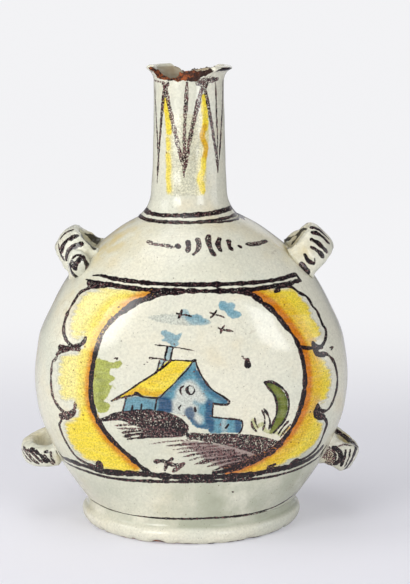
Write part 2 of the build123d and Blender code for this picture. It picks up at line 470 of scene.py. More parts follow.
class PaintedGrid:
    """An even grid on a surface, and the paint on it."""

    far: float = 4.0
    spread: float = 1.16
    run: int = 8
    taper: float = 5.0
    hand: tuple[Wave, ...] = (Wave(0.13, 7.0, 5), Wave(0.10, 2.6, 6))
    hatch_squeeze: tuple[float, float, float] = (0.15, 0.15, 1.0)
    hatch_wander: Wave = Wave(1.0, 1.6, 11)
    hatch_drift: Wave = Wave(0.5, 9.0, 12)
    hatch_span: tuple[float, float] = (-0.3, 0.9)
    halfway: float = 0.5
    thinnest: float = 1e-4

    def __init__(self, surface: Surface, turns: np.ndarray, ways: np.ndarray, spots: np.ndarray) -> None:
        """Keeps the grid, bare.

        Args:
            surface: What the grid lies on.
            turns: How far round each point is.
            ways: How far along each point is.
            spots: Where each point is, in millimetres.
        """
        self.surface, self.turns, self.ways, self.spots = surface, turns, ways, spots
        self.line = np.full(turns.shape, self.far)
        self.tone = np.zeros(turns.shape)
        self.edge = np.full(turns.shape, self.far)
        self.colour = np.zeros(turns.shape + (3,))
        self.cover = np.zeros(turns.shape)
        # Brown stain, also laid as painted shade in the eyes under the upper straps.
        self.stain_and_shade = np.zeros(turns.shape)
        # Thick green glaze, also used as painted shade where the body turns under and on the foot's collar.
        self.green = np.zeros(turns.shape)

    def away_from(self, path: np.ndarray, widths: np.ndarray) -> tuple[np.ndarray, np.ndarray, np.ndarray]:
        """Measures how far grid points are from a path, less the path's half width there.

        The path is taken in short runs, and each run looks only at the points in its own box. The
        distance to a straight piece is that to its nearest place, found by dropping a square line.

        Args:
            path: Places along the path, one a row.
            widths: Half width of the path at each place.

        Returns:
            Rows and columns of the points near the path, and their distances.
        """
        margin = self.far + widths.max()
        close = (self.spots > path.min(axis=0) - margin) & (self.spots < path.max(axis=0) + margin)
        rows, columns = np.nonzero(close.all(axis=-1))
        points = self.spots[rows, columns]
        out = np.full(len(points), self.far)
        for first in range(0, len(path) - 1, self.run):
            run, wide = path[first:first + self.run + 1], widths[first:first + self.run + 1]
            inside = ((points > run.min(axis=0) - margin) & (points < run.max(axis=0) + margin)).all(axis=-1)
            where = np.nonzero(inside)[0]
            if not len(where):
                continue
            start, along = run[:-1][None], np.diff(run, axis=0)[None]
            from_start = points[where][:, None, :] - start
            t = np.clip((from_start * along).sum(-1) / np.maximum((along ** 2).sum(-1), TINY), 0, 1)
            off = np.linalg.norm(from_start - t[..., None] * along, axis=-1)
            off -= wide[:-1] + t * np.diff(wide)
            out[where] = np.minimum(out[where], off.min(axis=1))
        return rows, columns, out

    def within(self, outline: np.ndarray) -> np.ndarray:
        """Says which grid points lie inside a closed outline, by how often a level line crosses it.

        Args:
            outline: How far round and along each corner is.

        Returns:
            True for the points inside.
        """
        inside = np.zeros(self.turns.shape, bool)
        way, low, high = self.ways[:, 0], outline[:, 1].min(), outline[:, 1].max()
        rows = np.nonzero((way >= low) & (way <= high))[0]
        if not len(rows):
            return inside
        x, y = self.turns[rows], self.ways[rows]
        part = np.zeros(x.shape, bool)
        for (ax, ay), (bx, by) in zip(outline, np.roll(outline, -1, axis=0)):
            if ay != by:
                part ^= ((ay > y) != (by > y)) & (x < (bx - ax) * (y - ay) / (by - ay) + ax)
        inside[rows] = part
        return inside

    def lay(self, mark: Stroke | Wash, uv: np.ndarray) -> None:
        """Paints one mark. A wash covers what lies under it, and a stroke lies over every wash.

        Args:
            mark: What to paint.
            uv: Its points on the surface.
        """
        if isinstance(mark, Stroke):
            self.lay_stroke(mark, uv)
        else:
            self.lay_wash(mark, uv)

    @staticmethod
    def is_area(mark: Stroke | Wash) -> bool:
        """Says whether a mark is a patch and not a line."""
        return mark.area if isinstance(mark, Stroke) else mark.width == 0

    def field_of(self, uv: np.ndarray, half_widths: np.ndarray, area: bool) -> np.ndarray:
        """Measures how far each grid point is from a mark's edge.

        Args:
            uv: The mark's points on the surface.
            half_widths: Half width at each point; not used for an area.
            area: Whether the points are the outline of a patch.

        Returns:
            Distances in millimetres, below zero inside the mark.
        """
        if area:
            uv = np.vstack((uv, uv[:1]))
            half_widths = np.zeros(len(uv))
        path = self.surface.place(uv[:, 0], uv[:, 1])
        rows, columns, off = self.away_from(path, half_widths)
        field_out = np.full(self.turns.shape, self.far)
        field_out[rows, columns] = off
        if area:
            inside = self.within(uv[:-1])
            field_out = np.where(inside, -field_out, field_out)
        return field_out

    def lay_stroke(self, mark: Stroke, uv: np.ndarray) -> None:
        """Adds one manganese stroke, a little uneven in width along its length.

        Args:
            mark: The stroke.
            uv: Its points on the surface.
        """
        share = np.linspace(0.0, 1.0, len(uv))
        press = np.minimum(mark.ends[0] + self.taper * share, mark.ends[1] + self.taper * (1 - share))
        path = self.surface.place(uv[:, 0], uv[:, 1])
        press = np.minimum(1.0, press) * (1 + uneven(path, self.hand))
        off = self.field_of(uv, self.spread * mark.width / 2 * press, mark.area)
        nearer = off < self.line
        self.tone = np.where(nearer, mark.tone, self.tone)
        self.line = np.minimum(self.line, off)

    def lay_wash(self, mark: Wash, uv: np.ndarray) -> None:
        """Adds one wash over the colours that are there.

        A hatched wash draws back from its edge in narrow level bands, as brush strokes end.

        Args:
            mark: The wash.
            uv: Its points on the surface.
        """
        off = self.field_of(uv, np.full(len(uv), mark.width / 2), mark.width == 0)
        pitch, reach = mark.hatch
        if reach:
            bands, level = self.hatch_wander, self.spots * np.array(self.hatch_squeeze)
            wander = ripple(level, pitch * bands.length, bands.seed) + uneven(self.spots, (self.hatch_drift,))
            off = off + reach * soft_step(*self.hatch_span, wander)
        inwards = self.halfway if reach else -self.halfway
        cover = mark.strength * np.clip(self.halfway - (off + inwards) / mark.soft, 0.0, 1.0)
        self.colour = self.colour * (1 - cover[..., None]) + np.array(mark.pigment.value) * cover[..., None]
        self.cover = self.cover * (1 - cover) + cover
        self.edge = np.minimum(self.edge, off - (self.halfway * mark.soft if reach else 0.0))

    def facts(self) -> dict[str, np.ndarray]:
        """Gives the paint as values for the mesh.

        Returns:
            Line distance and tone, wash distance, wash colour with its strength, stain with painted shade,
            and green glaze with painted shade.
        """
        tint = self.colour / np.maximum(self.cover, self.thinnest)[..., None]
        strength = 1 - (1 - self.cover[..., None]) ** 2
        return {
            "line": self.line, "tone": self.tone, "edge": self.edge, "stain_and_shade": self.stain_and_shade,
            "green": self.green, "tint": np.concatenate((tint, strength), axis=-1),
        }


# The pieces of the flask


@dataclass
class Body(Surface):
    """The thrown ball, patted flat at the front and back. Sizes are in millimetres."""

    foot_height: float = 12.0
    girth_height: float = 73.0
    seat_height: float = 151.5
    foot_radius: float = 52.0
    seat_radius: float = 24.7
    throat_radius: float = 13.5
    half_width: float = 76.9
    half_depth: float = 55.0
    wall: float = 5.0
    floor_height: float = 18.0
    base_line: float = 29.0
    shoulder_line: float = 126.6
    lower_heights: tuple[float, ...] = (0.0, 0.13, 0.33, 0.56, 0.79, 1.0)
    lower_widths: tuple[float, ...] = (0.0, 0.225, 0.522, 0.78, 0.952, 1.0)
    lower_depths: tuple[float, ...] = (0.0, 0.27, 0.53, 0.80, 0.96, 1.0)
    lower_squareness: tuple[float, ...] = (2.0, 2.15, 2.5, 2.8, 2.95, 3.0)
    upper_heights: tuple[float, ...] = (0.242, 0.446, 0.586, 0.688, 0.777, 0.866, 0.943, 1.0)
    upper_widths: tuple[float, ...] = (0.960, 0.833, 0.720, 0.607, 0.483, 0.320, 0.159, 0.0)
    upper_depths: tuple[float, ...] = (0.987, 0.947, 0.888, 0.782, 0.647, 0.452, 0.224, 0.0)
    upper_squareness: tuple[float, ...] = (3.0, 2.8, 2.5, 2.25, 2.1, 2.0, 2.0, 2.0)
    waves: tuple[Wave, ...] = (Wave(0.16, 75.0, 3), Wave(0.035, 19.0, 4))
    calm_power: float = 0.7
    outline_steps: int = 2000
    belly_front_grid: tuple[int, int] = (456, 214)
    belly_back_grid: tuple[int, int] = (360, 160)
    base_grid: tuple[int, int] = (640, 44)
    shoulder_grid: tuple[int, int] = (560, 120)
    under_rings: tuple[float, ...] = (0.08, 0.3, 0.5, 0.7, 0.83, 0.93)
    top_rings: tuple[float, ...] = (0.85, 0.7)
    lining_grid: tuple[int, int] = (140, 70)
    lining_heights: tuple[float, float] = (24.0, 147.5)
    lining_rings: tuple[float, ...] = (0.1, 0.4, 0.7, 1.0)
    floor_share: float = 0.93
    parts: dict[str, PaintedGrid] = field(default_factory=dict)

    def __post_init__(self) -> None:
        """Works out the level sections, and how far along the outline each one lies."""
        low, high = np.array(self.lower_heights), np.array(self.upper_heights)
        self.heights = np.concatenate((
            self.foot_height + (self.girth_height - self.foot_height) * low,
            self.girth_height + (self.seat_height - self.girth_height) * high))
        self.widths = np.concatenate((
            self.foot_radius + (self.half_width - self.foot_radius) * np.array(self.lower_widths),
            self.seat_radius + (self.half_width - self.seat_radius) * np.array(self.upper_widths)))
        self.depths = np.concatenate((
            self.foot_radius + (self.half_depth - self.foot_radius) * np.array(self.lower_depths),
            self.seat_radius + (self.half_depth - self.seat_radius) * np.array(self.upper_depths)))
        self.square = np.concatenate((self.lower_squareness, self.upper_squareness))
        steps = np.hypot(np.diff(self.heights), np.diff(self.widths))
        self.lengths = np.concatenate(([0.0], np.cumsum(steps)))
        self.along_range = (0.0, float(self.lengths[-1]))

    def along_at(self, height: float) -> float:
        """Finds how far along the outline a height lies, by reading a fine table backwards."""
        fine = np.linspace(*self.along_range, self.outline_steps)
        return float(np.interp(height, smooth_through(self.lengths, self.heights, fine), fine))

    def place(self, around: np.ndarray, along: np.ndarray) -> np.ndarray:
        """Works out places on the outside.

        Each level section is a superellipse: its reach in any direction is one over the n-th root of
        the sum of the n-th powers of the sideways and forward shares. The hand's unevenness is a soft
        ripple that dies out at the foot and at the neck.

        Args:
            around: Angle, from +X towards +Y.
            along: Distance along the outline, from the foot up.

        Returns:
            Places in millimetres.
        """
        height = smooth_through(self.lengths, self.heights, along)
        across = smooth_through(self.lengths, self.widths, along)
        deep = smooth_through(self.lengths, self.depths, along)
        power = smooth_through(self.lengths, self.square, along)
        cosine, sine = np.cos(around), np.sin(around)
        reach = ((np.abs(cosine) / across) ** power + (np.abs(sine) / deep) ** power) ** (-1 / power)
        lifted = (height - self.girth_height) / self.half_width
        way = np.stack((cosine, sine, lifted), axis=-1) * self.half_width
        calm = np.sin(math.pi * np.clip(along / self.along_range[1], 0, 1)) ** self.calm_power
        reach = reach + calm * uneven(way, self.waves)
        return np.stack((reach * cosine, reach * sine, height), axis=-1)

    def depth_below(self, spots: np.ndarray) -> np.ndarray:
        """Says roughly how far places stand off the body.

        A place's share of the level section's reach, less one, times the half width, is how far off
        it is sideways, and the outline's slope turns that into the distance square to the wall.

        Args:
            spots: Places in millimetres.

        Returns:
            Distances, below zero inside the body.
        """
        across = np.interp(spots[..., 2], self.heights, self.widths)
        deep = np.interp(spots[..., 2], self.heights, self.depths)
        power = np.interp(spots[..., 2], self.heights, self.square)
        share = (np.abs(spots[..., 0]) / across) ** power + (np.abs(spots[..., 1]) / deep) ** power
        slope = np.abs(np.interp(spots[..., 2], self.heights, np.gradient(self.widths, self.heights)))
        return (share ** (1 / power) - 1) * across / np.sqrt(1 + slope ** 2)

    def lay_grids(self) -> None:
        """Lays the grids of the belly, base and shoulder, dense where the picture is painted."""
        low, high = self.along_at(self.base_line), self.along_at(self.shoulder_line)
        self.parts = {
            "belly_front": self.grid(*self.belly_front_grid, (math.pi, 2 * math.pi), (low, high), wrap=False),
            "belly_back": self.grid(*self.belly_back_grid, (0.0, math.pi), (low, high), wrap=False),
            "base": self.grid(*self.base_grid, along=(0.0, low)),
            "shoulder": self.grid(*self.shoulder_grid, along=(high, self.along_range[1])),
        }

    def disc_rows(self, rim: np.ndarray, shares: tuple[float, ...]) -> np.ndarray:
        """Draws level rings inside a rim, at given shares of its reach.

        Args:
            rim: One row of places.
            shares: Shares of the way from the middle to the rim.

        Returns:
            The rings, one a row.
        """
        scale = np.array(shares)[:, None, None] * np.array([1.0, 1.0, 0.0]) + np.array([0.0, 0.0, 1.0])
        return rim[None] * scale

    def build(self) -> list[bpy.types.Object]:
        """Makes the outside's four pieces and the lining.

        Returns:
            The pieces.
        """
        made = []
        for name in ("belly_front", "belly_back"):
            made.append(sheet_piece("body_" + name, self.parts[name], "body"))
        base, shoulder = self.parts["base"], self.parts["shoulder"]
        under = self.disc_rows(base.spots[0], self.under_rings)
        made.append(ring_piece("body_base", base, "body", before=under, start_pole=True))
        throat = self.throat_radius / self.seat_radius
        top = self.disc_rows(shoulder.spots[-1], (*self.top_rings, throat))
        made.append(ring_piece("body_shoulder", shoulder, "body", after=top))
        made.append(self.build_lining(top[-1]))
        return made

    def build_lining(self, throat: np.ndarray) -> bpy.types.Object:
        """Makes the hollow: the outside moved inwards by the wall, square to itself, and a flat floor.

        Args:
            throat: The ring where the hollow opens into the neck.

        Returns:
            The piece, which faces into the hollow.
        """
        columns, rows = self.lining_grid
        bottom, top = self.lining_heights
        shell = self.grid(columns, rows, along=(self.along_at(bottom), self.along_at(top)))
        sideways = np.roll(shell.spots, -1, axis=1) - np.roll(shell.spots, 1, axis=1)
        out = np.cross(sideways, np.gradient(shell.spots, axis=0))
        moved = shell.spots - self.wall * out / np.linalg.norm(out, axis=-1, keepdims=True)
        share = self.floor_share
        rim = moved[0] * np.array([share, share, 0.0]) + np.array([0.0, 0.0, self.floor_height])
        floor = self.disc_rows(rim, self.lining_rings)
        picked = throat[np.linspace(0, len(throat), columns, endpoint=False).astype(int)]
        points = np.concatenate((floor, moved, picked[None]))
        return grid_piece("body_lining", points, "body", start_pole=True, outward=False)


@dataclass
class FootRing(Surface):
    """The ring luted under the body: a short collar, and a rolled edge with knocks in it."""

    outline: tuple[tuple[float, float], ...] = (
        (52.0, 12.0), (51.95, 10.6), (52.05, 9.2), (52.6, 8.2), (53.5, 7.3), (54.2, 6.2), (54.4, 5.0),
        (54.2, 3.6), (53.6, 2.2), (52.7, 1.0), (51.7, 0.25), (50.6, 0.0), (48.0, 0.0), (45.6, 0.0),
        (44.7, 0.4), (44.3, 1.4), (43.7, 5.0), (43.2, 9.0), (43.0, 12.0))
    knocks: tuple[tuple[float, float, float], ...] = (
        (252.5, 4.5, 1.1), (263.0, 1.6, 0.5), (238.0, 2.4, 0.6), (284.0, 2.0, 0.5), (303.0, 3.0, 0.7),
        (215.0, 2.2, 0.6), (331.0, 2.4, 0.6), (30.0, 4.0, 0.9), (95.0, 3.0, 0.8), (140.0, 5.0, 1.0))
    grid_size: tuple[int, int] = (760, 96)
    roll_length: float = 16.5
    outward_waves: tuple[Wave, ...] = (Wave(0.22, 46.0, 21), Wave(0.10, 13.0, 22))
    upward_waves: tuple[Wave, ...] = (Wave(0.12, 30.0, 23),)
    grit: Wave = Wave(0.5, 5.0, 24)
    measured_radius: float = 50.0
    knocked_radius: float = 52.0
    roll_inside: float = 48.0
    knock_inwards: float = 0.8
    knock_upwards: float = 0.35
    knock_heights: tuple[float, float] = (3.4, 0.6)
    worn_heights: tuple[float, float] = (1.5, 0.2)
    # Where the collar is darkened with green glaze as painted shade under the belly.
    green_and_shade_heights: tuple[float, float] = (6.8, 9.0)
    green_and_shade_side: float = 295.0
    green_and_shade_shares: tuple[float, float] = (0.25, 0.65)
    chip_depth: float = 0.45
    chip_strength: float = 2.4
    worn_shares: tuple[float, float] = (0.30, 0.55)

    def __post_init__(self) -> None:
        """Measures the outline."""
        rows = np.array(self.outline)
        self.lengths = np.concatenate(([0.0], np.cumsum(np.linalg.norm(np.diff(rows, axis=0), axis=1))))
        self.along_range = (0.0, float(self.lengths[-1]))

    def place(self, around: np.ndarray, along: np.ndarray) -> np.ndarray:
        """Turns the outline about the middle, with soft unevenness and knocks at the rolled edge.

        Args:
            around: Angle.
            along: Distance along the outline, from the body down and inwards.

        Returns:
            Places in millimetres.
        """
        rows = np.array(self.outline)
        radius = smooth_through(self.lengths, rows[:, 0], along)
        height = smooth_through(self.lengths, rows[:, 1], along)
        size = self.measured_radius
        way = np.stack((np.cos(around) * size, np.sin(around) * size, height), axis=-1)
        roll = np.sin(math.pi * np.clip(along / self.roll_length, 0, 1)) * (along < self.roll_length)
        radius = radius + roll * uneven(way, self.outward_waves)
        height = height + roll * uneven(way, self.upward_waves)
        bite = self.bite(around, height)
        radius = radius - bite * self.knock_inwards * (radius > self.roll_inside)
        height = height + bite * self.knock_upwards
        return np.stack((radius * np.cos(around), radius * np.sin(around), height), axis=-1)

    def bite(self, around: np.ndarray, height: np.ndarray) -> np.ndarray:
        """Says how deep the knocks are: each is a soft hump round its own angle, near the ground.

        Args:
            around: Angle.
            height: Height above the ground.

        Returns:
            Depths in millimetres.
        """
        depth = np.zeros(np.shape(around))
        for angle, size, deep in self.knocks:
            off = np.abs((np.degrees(around) - angle + 180) % 360 - 180) * math.radians(self.knocked_radius)
            depth = np.maximum(depth, deep * np.clip(1 - (off / size) ** 2, 0, 1))
        return depth * soft_step(*self.knock_heights, height)

    def build(self) -> list[bpy.types.Object]:
        """Makes the ring.

        Returns:
            The piece.
        """
        grid = self.grid(*self.grid_size)
        height = grid.spots[..., 2]
        rough = 0.5 + uneven(grid.spots, (self.grit,))
        # Painted shade under the belly, with thick green glaze: the collar darkens, most at the front right.
        front_right = (1 + np.cos(grid.turns - math.radians(self.green_and_shade_side))) / 2
        least, more = self.green_and_shade_shares
        grid.green = (least + more * front_right) * soft_step(*self.green_and_shade_heights, height)
        chipped = self.chip_strength * np.clip(self.bite(grid.turns, height) - self.chip_depth, 0, 1)
        least, more = self.worn_shares
        bare = np.clip(chipped + soft_step(*self.worn_heights, height) * (least + more * rough), 0, 1)
        return [ring_piece("foot_ring", grid, "foot_ring", wrap_rows=True,
                           extra={"bare": bare})]


@dataclass
class NeckBore(Surface):
    """The inside of the neck, straight and flaring at the lip."""

    radii: tuple[float, ...] = (13.0, 13.0, 13.15, 14.0, 15.2, 16.4)
    heights: tuple[float, ...] = (151.5, 217.5, 219.0, 221.0, 222.4, 223.4)
    offset: float = -1.0

    def __post_init__(self) -> None:
        """Sets the range of heights."""
        self.along_range = (self.heights[0], self.heights[-1])

    def place(self, around: np.ndarray, along: np.ndarray) -> np.ndarray:
        """Turns the bore's outline about the neck's middle, at given heights."""
        radius = smooth_through(self.heights, self.radii, along)
        return np.stack((self.offset + radius * np.cos(around), radius * np.sin(around), along), axis=-1)


@dataclass
class Neck(Surface):
    """The neck: spreading foot, slightly tapered tube, and a flared lip, broken away at the front."""

    radii: tuple[float, ...] = (
        24.7, 22.4, 20.5, 19.2, 18.7, 18.4, 18.2, 17.7, 17.3, 17.0, 17.0, 17.5, 18.9, 20.9)
    heights: tuple[float, ...] = (
        151.5, 153.7, 156.4, 159.6, 162.0, 166.0, 170.0, 180.0, 198.0, 213.0, 217.5, 220.0, 222.2, 223.4)
    lip_height: float = 225.0
    offset: float = -1.0
    size: float = 17.0
    calm_heights: tuple[float, float] = (151.5, 158.0)
    waves: tuple[Wave, ...] = (Wave(0.12, 30.0, 31), Wave(0.03, 8.0, 32))
    outer_jags: tuple[Wave, ...] = (Wave(0.22, 2.6, 33), Wave(0.12, 0.9, 34))
    inner_jags: tuple[Wave, ...] = (Wave(0.20, 3.1, 35), Wave(0.12, 1.0, 36))
    torn_waves: tuple[Wave, ...] = (Wave(0.34, 2.7, 37), Wave(0.20, 1.1, 38), Wave(0.10, 0.5, 39))
    whole_heights: tuple[float, float] = (222.5, 223.3)
    columns: int = 440
    outside_rows: int = 158
    crossing_rows: int = 26
    inside_rows: int = 30
    upward_power: float = 0.92
    bore: NeckBore = field(default_factory=NeckBore)
    grid_made: PaintedGrid | None = None
    broken_outer_edge: tuple[tuple[float, float], ...] = (
        (148, 67), (149.5, 71), (151.5, 75.5), (156, 78.6), (162, 80), (170, 80.6), (178, 82), (181, 80.6),
        (190, 82), (197, 81.6), (200, 78.5), (206, 76), (213, 73), (217, 70))
    broken_inner_edge: tuple[tuple[float, float], ...] = (
        (151, 65), (157, 71), (163, 76.0), (168, 78.0), (176, 79.0), (179, 73.5), (184, 71.6), (190, 71),
        (194, 67.5), (199, 66), (207, 65.6), (212, 65.8), (216, 68))
    back_outer_edge: tuple[tuple[float, float], ...] = (
        (20, 223.4), (38, 223.2), (48, 222.2), (64, 222.0), (78, 221.6), (88, 220.4), (101, 220.6),
        (112, 222.4), (120, 223.3), (150, 223.4), (172, 223.4))
    back_inner_edge: tuple[tuple[float, float], ...] = (
        (20, 223.4), (38, 223.3), (48, 223.0), (64, 222.7), (78, 222.2), (88, 221.2), (101, 221.2),
        (112, 222.9), (120, 223.4), (150, 223.4), (168, 223.4))

    def __post_init__(self) -> None:
        """Sets the range of heights."""
        self.along_range = (self.heights[0], self.heights[-1])

    def place(self, around: np.ndarray, along: np.ndarray) -> np.ndarray:
        """Turns the whole neck's outline about its middle, at given heights, slightly out of true.

        Args:
            around: Angle.
            along: Height.

        Returns:
            Places in millimetres.
        """
        radius = smooth_through(self.heights, self.radii, along)
        way = np.stack((np.cos(around) * self.size, np.sin(around) * self.size, along), axis=-1)
        radius = radius + soft_step(*self.calm_heights, along) * uneven(way, self.waves)
        return np.stack((self.offset + radius * np.cos(around), radius * np.sin(around), along), axis=-1)

    def edge_heights(self, shape: Surface, pixels: tuple[tuple[float, float], ...],
                     back: tuple[tuple[float, float], ...], camera: StudioCamera,
                     turns: np.ndarray) -> np.ndarray:
        """Finds how high one edge of the break stands in every direction.

        The front's picture points are cast onto the near half of the wall, the back's heights are
        given, and straight lines join them round the lip.

        Args:
            shape: The wall's face that the edge runs along.
            pixels: Picture points of the front's edge.
            back: Angle in degrees and height of the back's edge.
            camera: The view.
            turns: Where to read.

        Returns:
            Heights.
        """
        front = shape.cast(np.array(pixels, float), camera, near_side=(math.pi, 2 * math.pi))
        angles = np.concatenate((np.radians([row[0] for row in back]), front[:, 0]))
        heights = np.concatenate(([row[1] for row in back], front[:, 1]))
        order = np.argsort(angles)
        return np.interp(turns, angles[order], heights[order], period=2 * math.pi)

    def lay_grids(self, camera: StudioCamera) -> None:
        """Lays the neck's grid: up the outside, over the lip or break, and down the bore.

        The rows of the outside stretch to the break's outer edge, those of the break go straight to its
        inner edge with a rough ripple, and whole stretches of lip are rounded over instead.

        Args:
            camera: The view, which places the break.
        """
        turns = np.linspace(0, 2 * math.pi, self.columns, endpoint=False)
        outer = self.edge_heights(self, self.broken_outer_edge, self.back_outer_edge, camera, turns)
        inner = self.edge_heights(self.bore, self.broken_inner_edge, self.back_inner_edge, camera, turns)
        level = np.stack((self.size * np.cos(turns), self.size * np.sin(turns), 0 * turns), axis=-1)
        whole = soft_step(*self.whole_heights, np.minimum(outer, inner))
        outer = outer + (1 - whole) * uneven(level, self.outer_jags)
        inner = inner + (1 - whole) * uneven(level, self.inner_jags)
        up = np.linspace(0, 1, self.outside_rows)[:, None] ** self.upward_power
        low = self.heights[0]
        outside_ways = low + (outer - low)[None] * up
        outside = self.place(turns[None] + 0 * up, outside_ways)
        over = np.linspace(0, 1, self.crossing_rows)[1:-1, None]
        inner_edge = self.bore.place(turns, inner)
        crossing = outside[-1][None] * (1 - over[..., None]) + inner_edge[None] * over[..., None]
        hump = 4 * over * (1 - over)
        crossing[..., 2] += whole[None] * (self.lip_height - self.heights[-1]) * np.sqrt(hump)
        crossing[..., 2] += (1 - whole)[None] * uneven(crossing, self.torn_waves) * np.sqrt(hump)
        down = np.linspace(0, 1, self.inside_rows)[:, None]
        inside = self.bore.place(turns[None] + 0 * down, inner[None] + (low - inner)[None] * down)
        spots = np.concatenate((outside, crossing, inside))
        ways = np.concatenate((outside_ways, np.repeat(outer[None], len(over), 0), inside[..., 2]))
        self.grid_made = PaintedGrid(self, np.repeat(turns[None], len(spots), 0), ways, spots)
        bare_up, bare_over, bare_down = 0 * outside_ways, 0 * crossing[..., 0], 0 * inside[..., 0]
        zone = np.concatenate((bare_up, bare_over, 1 + bare_down))
        torn = np.concatenate((bare_up, (1 - whole)[None] + bare_over, bare_down))
        self.zones = {"inside": zone, "broken": torn}

    def build(self) -> list[bpy.types.Object]:
        """Makes the neck.

        Returns:
            The piece.
        """
        grid = self.grid_made
        unpainted = np.maximum(self.zones["inside"], self.zones["broken"]) > 0.5
        grid.line = np.where(unpainted, grid.far, grid.line)
        grid.edge = np.where(unpainted, grid.far, grid.edge)
        return [ring_piece("neck", grid, "neck", wrap_rows=True, extra=self.zones)]


class LutedPiece(Surface):
    """A striped piece of clay, closed at both ends, that is pressed onto the body."""

    name: str
    node: str
    grid_size: tuple[int, int]
    ends: tuple[float, float]
    painted: PaintedGrid

    def lay_grids(self) -> None:
        """Lays the piece's grid, which stops just short of its poles."""
        self.painted = self.grid(*self.grid_size, along=self.ends)

    def build(self) -> list[bpy.types.Object]:
        """Makes the piece."""
        return [ring_piece(self.name, self.painted, self.node,
                           start_pole=True, end_pole=True)]


@dataclass
class StrapLoop(LutedPiece):
    """One strap, bent over from the back to the front and luted on by hand."""

    name: str
    body: Body
    side: int
    height: float
    tilt: float
    turn: float
    rise: float
    width: float
    thickness: float = 7.2
    radius: float = 12.4
    root: float = 4.8
    front_drop: float = 0.0
    front_spread: float = 0.0
    front_bulge: float = 0.0
    front_from: float = 0.60
    front_until: float = 0.93
    tip_share: float = 0.05
    squareness: float = 2.9
    flare: float = 0.20
    flare_reach: float = 1.7
    lumps: tuple[tuple[float, float], ...] = ((0.035, 11.0), (0.015, 4.0))
    grid_size: tuple[int, int] = (190, 230)
    ends: tuple[float, float] = (0.004, 0.996)
    seed: int = 41

    def __post_init__(self) -> None:
        """Notes the CAD node, and that a left strap is the mirror image of a right one."""
        self.node, self.handed = self.name, self.side

    def place(self, around: np.ndarray, along: np.ndarray) -> np.ndarray:
        """Carries the strap's section along its bend.

        The path is a straight leg, a half circle and another leg. The section is a superellipse of the
        strap's thickness and width, which swells where it nears the body, as clay does when it is
        pressed on, and its front end is drawn down and widened into a foot.

        Args:
            around: Angle round the section.
            along: Share of the path, from the back's root to the front's.

        Returns:
            Places in millimetres.
        """
        leg = self.root / (2 * self.root + math.pi * self.radius)
        bend = np.clip((along - leg) / (1 - 2 * leg), 0, 1) * math.pi
        sunk = np.where(along > 1 - leg, (along - 1 + leg) / leg, 0)
        sunk = np.where(along < leg, (leg - along) / leg, sunk)
        middle_out = self.rise - self.radius
        foot = soft_step(self.front_from, self.front_until, along)
        tip = np.clip(np.minimum(along, 1 - along) / self.tip_share, 0, 1) ** 0.5
        power = 2 / self.squareness
        cosine, sine = np.cos(around), np.sin(around)
        out = np.sign(cosine) * np.abs(cosine) ** power * (self.thickness / 2 + self.front_bulge * foot)
        wide = np.sign(sine) * np.abs(sine) ** power * (self.width / 2 + self.front_spread * foot)
        out, wide = out * tip, wide * tip
        draft = self.to_world(bend, sunk, middle_out, out, wide, foot)
        off = self.body.depth_below(draft)
        flare = 1 + self.flare * np.exp(-(np.clip(off, 0, None) / self.flare_reach) ** 2)
        waves = tuple(Wave(height, length, self.seed + k) for k, (height, length) in enumerate(self.lumps))
        swell = flare * (1 + uneven(draft, waves))
        return self.to_world(bend, sunk, middle_out, out * swell, wide * swell, foot)

    def to_world(self, bend: np.ndarray, sunk: np.ndarray, middle_out: float, out: np.ndarray,
                 wide: np.ndarray, foot: np.ndarray) -> np.ndarray:
        """Sets section offsets on the path, tilts the strap and stands it on the flank.

        Args:
            bend: Angle along the half circle, 0 at the back.
            sunk: Share of a leg below the half circle.
            middle_out: How far the half circle's middle stands off the flank.
            out: Offset outwards from the path.
            wide: Offset across the strap.
            foot: Share of the front foot's own shape.

        Returns:
            Places in millimetres.
        """
        far = middle_out + (self.radius + out) * np.sin(bend) - sunk * self.root
        back = (self.radius + out) * np.cos(bend)
        wide = wide - self.front_drop * foot
        turn, tilt = math.radians(self.turn), math.radians(self.tilt)
        swung = back * math.cos(turn) - wide * math.sin(turn)
        lifted = back * math.sin(turn) + wide * math.cos(turn)
        x = far * math.cos(tilt) - lifted * math.sin(tilt)
        z = far * math.sin(tilt) + lifted * math.cos(tilt)
        flank = float(np.interp(self.height, self.body.heights, self.body.widths))
        return np.stack((self.side * (flank + x), swung, self.height + z), axis=-1)


@dataclass
class PressedEnd(LutedPiece):
    """A rounded lump of clay where a strap's front end was pressed on."""

    name: str
    node: str
    middle: tuple[float, float, float]
    reach: tuple[float, float, float]
    lean: float
    wave: Wave = Wave(0.03, 7.0, 51)
    wave_size: float = 6.0
    grid_size: tuple[int, int] = (110, 80)
    ends: tuple[float, float] = (0.01, 0.99)

    def place(self, around: np.ndarray, along: np.ndarray) -> np.ndarray:
        """Works out an egg of three reaches, leaned sideways and a little lumpy.

        Args:
            around: Angle round the upright axis.
            along: Share of the way from the bottom to the top.

        Returns:
            Places in millimetres.
        """
        rise = (along - 0.5) * math.pi
        ball = np.stack((np.cos(rise) * np.cos(around), np.cos(rise) * np.sin(around), np.sin(rise)), axis=-1)
        lumpy = 1 + uneven(ball * self.wave_size, (self.wave,))
        out = ball * np.array(self.reach) * lumpy[..., None]
        lean = math.radians(self.lean)
        x = out[..., 0] * math.cos(lean) + out[..., 2] * math.sin(lean)
        z = out[..., 2] * math.cos(lean) - out[..., 0] * math.sin(lean)
        return np.stack((x, out[..., 1], z), axis=-1) + np.array(self.middle)


# Finishes


Colour = tuple[float, float, float]


@dataclass(frozen=True)
class Grain:
    """Noise: patch size in millimetres, detail, roughness, shift of its place, and stretch each way."""

    size: float
    detail: float = 2.0
    rough: float = 0.5
    shift: float = 0.0
    stretch: Colour = (1.0, 1.0, 1.0)


